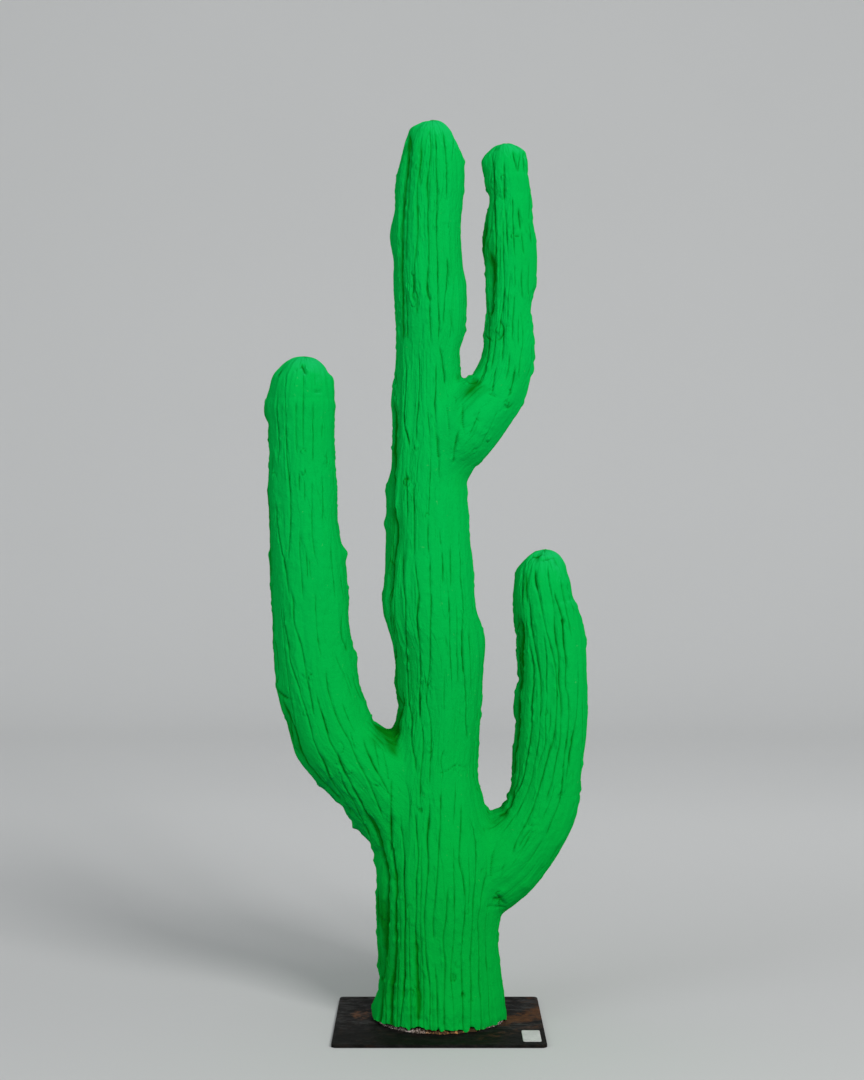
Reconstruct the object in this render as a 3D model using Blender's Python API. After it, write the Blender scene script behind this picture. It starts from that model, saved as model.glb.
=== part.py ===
"""Painted model of a saguaro cactus: a ribbed trunk with three upturned arms, on a thin steel plate.

Metres, +Z up. The front faces -Y, and left and right are as seen from the front.
The origin is the centre of the plate's underside.
The trunk's root flare stands on a thin crust of bare filler, and the crust on the plate.
Each arm is two solids that meet at its bend, so that neither wraps round the gap beside the trunk.
"""

import math

import bmesh
import bpy
import numpy as np

# Gap kept between two solids that meet, and how far the trunk's cutter is grown to leave it
# square to the ribs' sloping sides
CLEARANCE = 0.0003
CUTTER_GROWTH = 0.0006

# Steel plate, its origin in the middle of its underside
PLATE_WIDTH = 0.205
PLATE_DEPTH = 0.179
PLATE_THICKNESS = 0.003
PLATE_CORNER_RADIUS = 0.005
PLATE_EDGE_ROUND = 0.0004

# Blank sticker near the plate's front right corner
STICKER_WIDTH = 0.0175
STICKER_DEPTH = 0.038
STICKER_THICKNESS = 0.0004
STICKER_CENTRE = (0.0888, -0.0600)

# Crust of bare filler under the trunk: waves round its edge (number, height, phase), and its
# profile (share of its height, how far it is drawn in)
CRUST_RADIUS = 0.0660
CRUST_HEIGHT = 0.0044
CRUST_SEGMENTS = 72
CRUST_WAVES = ((5, 0.0007, 0.4), (11, 0.0006, 1.9), (23, 0.0005, 0.0))
CRUST_PROFILE = ((0.0, 0.0008), (0.35, 0.0), (1.0, 0.0004))

# Trunk: the depth over the width, at the foot and above the root flare
TRUNK_AXIS_Y = 0.0135
TRUNK_FOOT_Z = PLATE_THICKNESS + CRUST_HEIGHT + 2 * CLEARANCE
TRUNK_DEPTH_RATIO_FOOT = 1.0
TRUNK_DEPTH_RATIO = 0.92
TRUNK_FLARE_HEIGHT = 0.120
TRUNK_RIBS = 24
TRUNK_RINGS = 30

# Trunk stations: lean to the right, height, half width
TRUNK_STATIONS = (
    (0.0000, TRUNK_FOOT_Z, 0.0670),
    (0.0007, 0.019, 0.0658),
    (0.0010, 0.040, 0.0615),
    (-0.0008, 0.091, 0.0600),
    (-0.0008, 0.115, 0.0620),
    (-0.0023, 0.163, 0.0595),
    (-0.0043, 0.199, 0.0520),
    (-0.0063, 0.243, 0.0445),
    (-0.0008, 0.307, 0.0410),
    (-0.0003, 0.363, 0.0445),
    (-0.0103, 0.411, 0.0475),
    (-0.0108, 0.475, 0.0420),
    (-0.0118, 0.523, 0.0400),
    (-0.0103, 0.571, 0.0365),
    (-0.0108, 0.651, 0.0320),
    (-0.0083, 0.707, 0.0360),
    (-0.0113, 0.763, 0.0347),
    (-0.0093, 0.830, 0.0350),
)
TRUNK_TIP = (-0.0072, 0.898)
TRUNK_DOME_POWER = 0.45

# Ribs: a groove's depth as a share of the radius and at most, and half the flat crest as a share
# of the pitch
RIB_DEPTH_SHARE = 0.075
RIB_DEPTH_LIMIT = 0.0032
RIB_SHOULDER = 0.30

# Arms: the depth over the width
ARM_DEPTH_RATIO = 0.95

# Rings in a limb's domed tip, and half the stretch over which a path's direction is measured
DOME_RINGS = 5
DIRECTION_SPAN = 0.004

# Paint, plate, filler and sticker colours, linear
GREEN = (0.004, 0.420, 0.065)
BLACK_STEEL = (0.022, 0.018, 0.016)
FILLER_BROWN = (0.300, 0.190, 0.150)
STICKER_GREY = (0.400, 0.410, 0.420)

# Arm stations: place to the right, height, radius; from inside the trunk to the foot of the domed tip
LEFT_ARM_STATIONS = (
    (-0.0120, 0.1540, 0.0360),
    (-0.0260, 0.1850, 0.0430),
    (-0.0470, 0.2190, 0.0435),
    (-0.0815, 0.2588, 0.0430),
    (-0.1022, 0.2815, 0.0427),
    (-0.1158, 0.3195, 0.0415),
    (-0.1233, 0.3560, 0.0405),
    (-0.1270, 0.4090, 0.0385),
    (-0.1300, 0.4640, 0.0370),
    (-0.1345, 0.5390, 0.0337),
    (-0.1355, 0.5950, 0.0328),
    (-0.1360, 0.6190, 0.0330),
)
RIGHT_ARM_STATIONS = (
    (0.0100, 0.1200, 0.0360),
    (0.0400, 0.1420, 0.0440),
    (0.0630, 0.1590, 0.0430),
    (0.0850, 0.1820, 0.0390),
    (0.1018, 0.2080, 0.0365),
    (0.1110, 0.2510, 0.0352),
    (0.1135, 0.2990, 0.0357),
    (0.1148, 0.3390, 0.0345),
    (0.1115, 0.3910, 0.0335),
    (0.1062, 0.4160, 0.0315),
)
UPPER_ARM_STATIONS = (
    (-0.0030, 0.5600, 0.0300),
    (0.0195, 0.5860, 0.0360),
    (0.0368, 0.6050, 0.0345),
    (0.0580, 0.6290, 0.0300),
    (0.0660, 0.6490, 0.0275),
    (0.0700, 0.6670, 0.0255),
    (0.0712, 0.6990, 0.0235),
    (0.0725, 0.7370, 0.0250),
    (0.0712, 0.7790, 0.0262),
    (0.0705, 0.7950, 0.0243),
    (0.0690, 0.8430, 0.0242),
)

# Each arm: its stations, tip, height of the split at its bend, forward offset at root and tip,
# fullness of its dome, ribs, rings below the bend and rings above it
ARMS = {
    "left_arm": {
        "stations": LEFT_ARM_STATIONS,
        "tip": (-0.1340, 0.6615),
        "split_height": 0.3000,
        "forward": (-0.008, -0.014),
        "dome_power": 0.45,
        "ribs": 16,
        "rings": (9, 13),
    },
    "right_arm": {
        "stations": RIGHT_ARM_STATIONS,
        "tip": (0.1062, 0.4680),
        "split_height": 0.2150,
        "forward": (0.006, 0.012),
        "dome_power": 0.45,
        "ribs": 16,
        "rings": (8, 10),
    },
    "upper_arm": {
        "stations": UPPER_ARM_STATIONS,
        "tip": (0.0658, 0.8750),
        "split_height": 0.6380,
        "forward": (-0.005, 0.0),
        "dome_power": 0.38,
        "ribs": 13,
        "rings": (7, 11),
    },
}


def principled(name, colour, roughness, metallic=0.0):
    """A plain Principled material."""
    material = bpy.data.materials.new(name)
    material.use_nodes = True
    shader = material.node_tree.nodes["Principled BSDF"]
    shader.inputs["Base Color"].default_value = (*colour, 1.0)
    shader.inputs["Roughness"].default_value = roughness
    shader.inputs["Metallic"].default_value = metallic
    return material


def finished(name, bm, material, smooth_angle=40):
    """Turn a bmesh into a named, shaded object, its faces pointing outwards."""
    bmesh.ops.recalc_face_normals(bm, faces=bm.faces)
    mesh = bpy.data.meshes.new(name)
    bm.to_mesh(mesh)
    bm.free()
    mesh.shade_smooth()
    mesh.set_sharp_from_angle(angle=math.radians(smooth_angle))
    mesh.materials.append(material)
    thing = bpy.data.objects.new(name, mesh)
    bpy.context.scene.collection.objects.link(thing)
    return thing


def smooth_rows(rows, at):
    """Rows of numbers read at fractional row numbers, along a cubic curve through every row.

    The curve's slope at a row is half the step between its two neighbours.
    """
    rows = np.asarray(rows, dtype=float)
    slopes = np.gradient(rows, axis=0)
    first = np.clip(np.floor(at).astype(int), 0, len(rows) - 2)
    t = (at - first)[:, None]
    a, b = rows[first], rows[first + 1]
    slope_a, slope_b = slopes[first], slopes[first + 1]
    return (
        a * (1 + 2 * t) * (1 - t) ** 2
        + slope_a * t * (1 - t) ** 2
        + b * t * t * (3 - 2 * t)
        - slope_b * t * t * (1 - t)
    )


def length_along(rows):
    """The length of the path of (right, height) from the first row to each row."""
    steps = np.linalg.norm(np.diff(rows[:, :2], axis=0), axis=1)
    return np.concatenate([[0], np.cumsum(steps)])


def fine_path(stations):
    """Many rows along the stations' smooth path, and the length up to each."""
    rows = smooth_rows(stations, np.linspace(0, len(stations) - 1, 40 * len(stations)))
    return rows, length_along(rows)


def at_lengths(stations, lengths):
    """Rows at lengths along the stations' smooth path, and the path's unit direction at each."""
    rows, along = fine_path(stations)

    def read(lengths):
        return np.stack([np.interp(lengths, along, column) for column in rows.T], axis=1)

    steps = read(lengths + DIRECTION_SPAN)[:, :2] - read(lengths - DIRECTION_SPAN)[:, :2]
    return read(lengths), steps / np.linalg.norm(steps, axis=1)[:, None]


def domed(rows, directions, tip, power):
    """The rows and directions, then those of a dome that closes at the tip.

    The dome's radius is R * (1 - u^2)^power, where u runs from 0 at its foot to 1 at the tip.
    """
    base = rows[-1]
    rise = np.sin(np.linspace(0, math.pi / 2, DOME_RINGS + 2))[1:-1, None]
    to_tip = np.array(tip) - base[:2]
    dome = np.hstack([base[:2] + to_tip * rise, base[2] * (1 - rise**2) ** power])
    up = np.tile(to_tip / np.linalg.norm(to_tip), (DOME_RINGS, 1))
    return np.vstack([rows, dome]), np.vstack([directions, up])


def ribbed_ring(centre, across, radius, depth_ratio, ribs):
    """Points of a ribbed ring round a centre: two on each rib's crest and one in the groove beside it.

    The point at angle u is centre + across * r * cos(u) + Y * r * ratio * sin(u).
    """
    rib_depth = min(RIB_DEPTH_SHARE * radius, RIB_DEPTH_LIMIT)
    points = []
    for rib in range(ribs):
        for place, cut in ((-RIB_SHOULDER, 0.0), (RIB_SHOULDER, 0.0), (0.5, rib_depth)):
            u = 2 * math.pi * (rib + place) / ribs
            r = radius - cut
            side = r * math.cos(u)
            points.append(
                (
                    centre[0] + across[0] * side,
                    centre[1] + r * depth_ratio * math.sin(u),
                    centre[2] + across[1] * side,
                )
            )
    return points


def lofted(rings, tip=None):
    """A closed skin through the rings, with a flat cap at each end or a point at the tip."""
    bm = bmesh.new()
    loops = [[bm.verts.new(point) for point in ring] for ring in rings]
    for low, high in zip(loops, loops[1:]):
        for i, corner in enumerate(low):
            j = (i + 1) % len(low)
            bm.faces.new((corner, low[j], high[j], high[i]))
    last = tip if tip is not None else np.mean(rings[-1], axis=0)
    for loop, middle in ((loops[0], np.mean(rings[0], axis=0)), (loops[-1], last)):
        hub = bm.verts.new(middle)
        for i, corner in enumerate(loop):
            bm.faces.new((corner, loop[(i + 1) % len(loop)], hub))
    bmesh.ops.triangulate(bm, faces=[face for face in bm.faces if len(face.verts) > 3])
    return bm


def trunk_skin(grow=0.0):
    """The trunk: level ribbed rings from the flat cut foot to the domed tip, grown outwards if asked."""
    length = fine_path(TRUNK_STATIONS)[1][-1]
    rows, directions = at_lengths(TRUNK_STATIONS, np.linspace(0, length, TRUNK_RINGS))
    rows, _ = domed(rows, directions, TRUNK_TIP, TRUNK_DOME_POWER)
    rings = []
    for right, height, radius in rows:
        flare = max(0.0, 1.0 - height / TRUNK_FLARE_HEIGHT) ** 2
        ratio = TRUNK_DEPTH_RATIO + (TRUNK_DEPTH_RATIO_FOOT - TRUNK_DEPTH_RATIO) * flare
        centre = (right, TRUNK_AXIS_Y, height)
        rings.append(ribbed_ring(centre, (1.0, 0.0), radius + grow, ratio, TRUNK_RIBS))
    tip = (TRUNK_TIP[0], TRUNK_AXIS_Y, TRUNK_TIP[1] + grow)
    return lofted(rings, tip)


def arm_rings(arm, rows, directions):
    """Ribbed rings square to an arm's path, which stays upright and moves forward along its length."""
    root_height, tip_height = arm["stations"][0][1], arm["tip"][1]
    at_root, at_tip = arm["forward"]
    rings = []
    for (right, height, radius), (step_right, step_up) in zip(rows, directions):
        rise = (height - root_height) / (tip_height - root_height)
        centre = (right, TRUNK_AXIS_Y + at_root + (at_tip - at_root) * rise, height)
        across = (step_up, -step_right)
        rings.append(ribbed_ring(centre, across, radius, ARM_DEPTH_RATIO, arm["ribs"]))
    return rings


def largest_body(thing):
    """Replace an object's mesh by its evaluated one, without the loose scraps that a cut leaves."""
    bpy.context.view_layer.update()
    evaluated = thing.evaluated_get(bpy.context.evaluated_depsgraph_get())
    bm = bmesh.new()
    bm.from_mesh(evaluated.to_mesh())
    evaluated.to_mesh_clear()
    unseen = set(bm.verts)
    bodies = []
    while unseen:
        body, edge = set(), {next(iter(unseen))}
        while edge:
            body |= edge
            edge = {e.other_vert(v) for v in edge for e in v.link_edges} - body
        unseen -= body
        bodies.append(body)
    bodies.sort(key=len)
    scraps = [v for body in bodies[:-1] for v in body]
    bmesh.ops.delete(bm, geom=scraps, context="VERTS")
    thing.modifiers.clear()
    bm.to_mesh(thing.data)
    bm.free()


def build_arm(name, arm, trunk_cutter, material):
    """An arm's root, cut to the trunk's side, and its shaft above the bend."""
    stations = arm["stations"]
    fine, along = fine_path(stations)
    split = np.interp(arm["split_height"], fine[:, 1], along)
    split_direction = at_lengths(stations, np.array([split]))[1][0]
    root_rings, shaft_rings = arm["rings"]

    rows, directions = at_lengths(stations, np.linspace(0, split - CLEARANCE / 2, root_rings))
    directions[-1] = split_direction
    root = finished(f"{name}_root", lofted(arm_rings(arm, rows, directions)), material)
    cut = root.modifiers.new("trunk_side", "BOOLEAN")
    cut.operation = "DIFFERENCE"
    cut.solver = "EXACT"
    cut.object = trunk_cutter
    largest_body(root)

    lengths = np.linspace(split + CLEARANCE / 2, along[-1], shaft_rings)
    rows, directions = at_lengths(stations, lengths)
    directions[0] = split_direction
    rows, directions = domed(rows, directions, arm["tip"], arm["dome_power"])
    tip = (arm["tip"][0], TRUNK_AXIS_Y + arm["forward"][1], arm["tip"][1])
    finished(f"{name}_shaft", lofted(arm_rings(arm, rows, directions), tip), material)


def build_plate(material):
    """The steel plate: a slab with rounded corners and its sharp edges just broken."""
    bm = bmesh.new()
    bmesh.ops.create_cube(bm, size=1.0)
    bmesh.ops.scale(bm, vec=(PLATE_WIDTH, PLATE_DEPTH, PLATE_THICKNESS), verts=bm.verts)
    bmesh.ops.translate(bm, vec=(0, 0, PLATE_THICKNESS / 2), verts=bm.verts)
    upright = [e for e in bm.edges if abs(e.verts[0].co.z - e.verts[1].co.z) > PLATE_THICKNESS / 2]
    bmesh.ops.bevel(
        bm, geom=upright, offset=PLATE_CORNER_RADIUS, segments=6, profile=0.5, affect="EDGES"
    )
    plate = finished("base_plate", bm, material)
    edge = plate.modifiers.new("broken_edge", "BEVEL")
    edge.width = PLATE_EDGE_ROUND
    edge.segments = 2
    edge.limit_method = "ANGLE"
    edge.angle_limit = math.radians(60)
    return plate


def build_sticker(material):
    """The blank sticker, a thin slab just clear of the plate's top."""
    bm = bmesh.new()
    bmesh.ops.create_cube(bm, size=1.0)
    bmesh.ops.scale(bm, vec=(STICKER_WIDTH, STICKER_DEPTH, STICKER_THICKNESS), verts=bm.verts)
    level = PLATE_THICKNESS + CLEARANCE + STICKER_THICKNESS / 2
    bmesh.ops.translate(bm, vec=(*STICKER_CENTRE, level), verts=bm.verts)
    return finished("blank_sticker", bm, material)


def build_crust(material):
    """The crust: a low disc whose uneven edge is a circle plus a few waves, drawn in at the bottom."""
    bottom = PLATE_THICKNESS + CLEARANCE
    rings = []
    for level, inset in CRUST_PROFILE:
        ring = []
        for i in range(CRUST_SEGMENTS):
            u = 2 * math.pi * i / CRUST_SEGMENTS
            r = CRUST_RADIUS - inset
            for waves, height, phase in CRUST_WAVES:
                r += height * math.sin(waves * u + phase)
            ring.append(
                (r * math.cos(u), TRUNK_AXIS_Y + r * math.sin(u), bottom + level * CRUST_HEIGHT)
            )
        rings.append(ring)
    return finished("foot_crust", lofted(rings), material)


def main():
    for thing in list(bpy.data.objects):
        bpy.data.objects.remove(thing, do_unlink=True)
    green = principled("green_paint", GREEN, 0.55)
    steel = principled("blackened_steel", BLACK_STEEL, 0.55, metallic=0.6)
    filler = principled("bare_filler", FILLER_BROWN, 0.9)
    paper = principled("sticker_film", STICKER_GREY, 0.5)
    build_plate(steel)
    build_sticker(paper)
    build_crust(filler)
    finished("trunk", trunk_skin(), green)
    cutter = finished("trunk_cutter", trunk_skin(grow=CUTTER_GROWTH), green)
    cutter.hide_render = True
    cutter.display_type = "WIRE"
    for name, arm in ARMS.items():
        build_arm(name, arm, cutter, green)


main()
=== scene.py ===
"""A painted model saguaro on its steel plate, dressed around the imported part."""

import math

import bpy
import numpy as np
from bpy.props import FloatProperty, FloatVectorProperty, IntProperty, PointerProperty
from bpy.types import Operator, Panel, PropertyGroup
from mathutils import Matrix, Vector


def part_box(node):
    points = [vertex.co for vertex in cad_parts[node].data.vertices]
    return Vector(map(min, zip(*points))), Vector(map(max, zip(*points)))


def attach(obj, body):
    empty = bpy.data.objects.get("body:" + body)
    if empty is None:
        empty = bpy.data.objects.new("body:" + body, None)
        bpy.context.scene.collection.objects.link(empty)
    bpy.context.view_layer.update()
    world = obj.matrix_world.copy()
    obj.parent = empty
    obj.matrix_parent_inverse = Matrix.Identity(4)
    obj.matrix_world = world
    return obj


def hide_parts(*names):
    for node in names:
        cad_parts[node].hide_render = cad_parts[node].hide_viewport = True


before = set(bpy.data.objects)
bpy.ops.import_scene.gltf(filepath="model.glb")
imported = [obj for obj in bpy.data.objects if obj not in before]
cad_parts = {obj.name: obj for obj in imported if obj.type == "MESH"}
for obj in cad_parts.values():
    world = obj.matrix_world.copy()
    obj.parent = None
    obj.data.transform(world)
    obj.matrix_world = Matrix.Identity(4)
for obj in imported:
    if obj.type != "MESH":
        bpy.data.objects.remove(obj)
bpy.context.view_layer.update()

bl_info = {
    "name": "Painted Saguaro",
    "version": (1, 0, 0),
    "blender": (4, 5, 0),
    "location": "View3D > Sidebar > Saguaro",
    "description": "Grooved limbs, steel plate, filler and sticker of a painted model saguaro",
    "category": "Object",
}

TURN = 2 * math.pi
MM = 0.001

# The front elevation is drawn on a sheet of millimetres: right and down from its corner.
# SHEET_CENTRE is the sheet place of x = 0 and of the floor, in the plane of the trunk's axis.
SHEET_CENTRE = (438.8, 1019.0)
AXIS_Y = 0.0135

# The camera looks level along y from EYE; LENS and SENSOR are in mm, LENS_SHIFT in frame heights
EYE = np.array((-0.0068, AXIS_Y - 1.9, 0.510))
LENS = 63.33
SENSOR = 36.0
LENS_SHIFT = -31.0 / 1080.0

# Stations of each limb: place to the right, height, radius, in metres
TRUNK = (
    (0.0000, 0.008, 0.0670), (0.0007, 0.019, 0.0658), (0.0010, 0.040, 0.0615),
    (-0.0008, 0.091, 0.0600), (-0.0008, 0.115, 0.0620), (-0.0023, 0.163, 0.0595),
    (-0.0043, 0.199, 0.0520), (-0.0063, 0.243, 0.0445), (-0.0008, 0.307, 0.0410),
    (-0.0003, 0.363, 0.0445), (-0.0103, 0.411, 0.0475), (-0.0108, 0.475, 0.0420),
    (-0.0118, 0.523, 0.0400), (-0.0103, 0.571, 0.0365), (-0.0108, 0.651, 0.0320),
    (-0.0083, 0.707, 0.0360), (-0.0113, 0.760, 0.0347), (-0.0124, 0.790, 0.0346),
    (-0.0108, 0.817, 0.0342), (-0.0093, 0.836, 0.0344),
)
LEFT_ARM = (
    (-0.0120, 0.1540, 0.0360), (-0.0260, 0.1850, 0.0430), (-0.0470, 0.2190, 0.0435),
    (-0.0815, 0.2588, 0.0430), (-0.1022, 0.2815, 0.0427), (-0.1158, 0.3195, 0.0415),
    (-0.1233, 0.3560, 0.0405), (-0.1270, 0.4090, 0.0385), (-0.1300, 0.4640, 0.0370),
    (-0.1345, 0.5390, 0.0337), (-0.1355, 0.5950, 0.0328), (-0.1360, 0.6190, 0.0330),
)
RIGHT_ARM = (
    (0.0100, 0.1200, 0.0360), (0.0400, 0.1420, 0.0440), (0.0630, 0.1590, 0.0430),
    (0.0850, 0.1820, 0.0390), (0.1018, 0.2080, 0.0365), (0.1110, 0.2510, 0.0352),
    (0.1135, 0.2990, 0.0357), (0.1148, 0.3390, 0.0345), (0.1115, 0.3910, 0.0335),
    (0.1062, 0.4160, 0.0315),
)
UPPER_ARM = (
    (-0.0030, 0.5600, 0.0300), (0.0195, 0.5860, 0.0360), (0.0368, 0.6050, 0.0345),
    (0.0580, 0.6290, 0.0300), (0.0660, 0.6490, 0.0275), (0.0700, 0.6670, 0.0255),
    (0.0712, 0.6990, 0.0235), (0.0725, 0.7370, 0.0250), (0.0712, 0.7790, 0.0262),
    (0.0705, 0.7950, 0.0243), (0.0708, 0.8220, 0.0226), (0.0688, 0.8430, 0.0236),
)

# How far each arm's joint is rounded: below it and above it, in mm, and between which heights in m
JOINTS = {
    "left_arm": (5.0, 18.0, 0.20, 0.27),
    "right_arm": (8.0, 17.0, 0.13, 0.20),
    "upper_arm": (10.0, 12.0, 0.57, 0.63),
}

# Kinds of groove: how deep, how wide its shoulders are and how rounded its bottom is, in mm
HAIR = (0.75, 0.5, 0.1)
LINE = (1.3, 0.7, 0.15)
CUT = (1.8, 1.0, 0.25)
SOFT = (1.1, 1.7, 0.35)
VALLEY = (2.3, 4.2, 1.6)
DITCH = (2.9, 1.6, 0.45)
SHADE = (4.4, 3.4, 1.2)

# What the grooves of the back are drawn from, and how deep crossing grooves can go together
GROWN_KINDS = (HAIR, LINE, LINE, CUT, CUT, VALLEY, DITCH)
FLOOR_DEPTH = 5.2 * MM

# How deep a limb may lie inside its neighbour and still be drawn out to it, the share of that depth
# it is sunk by, so that the two skins never lie in one place, and the steps taken to the union
BURIED = 14 * MM
SINK = 0.45
BLEND_STEPS = 5

# Samples along a limb's path, how many of them a first search skips, and places searched at once
PATH_SAMPLES = 1600
PATH_STRIDE = 4
CHUNK = 20000

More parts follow.
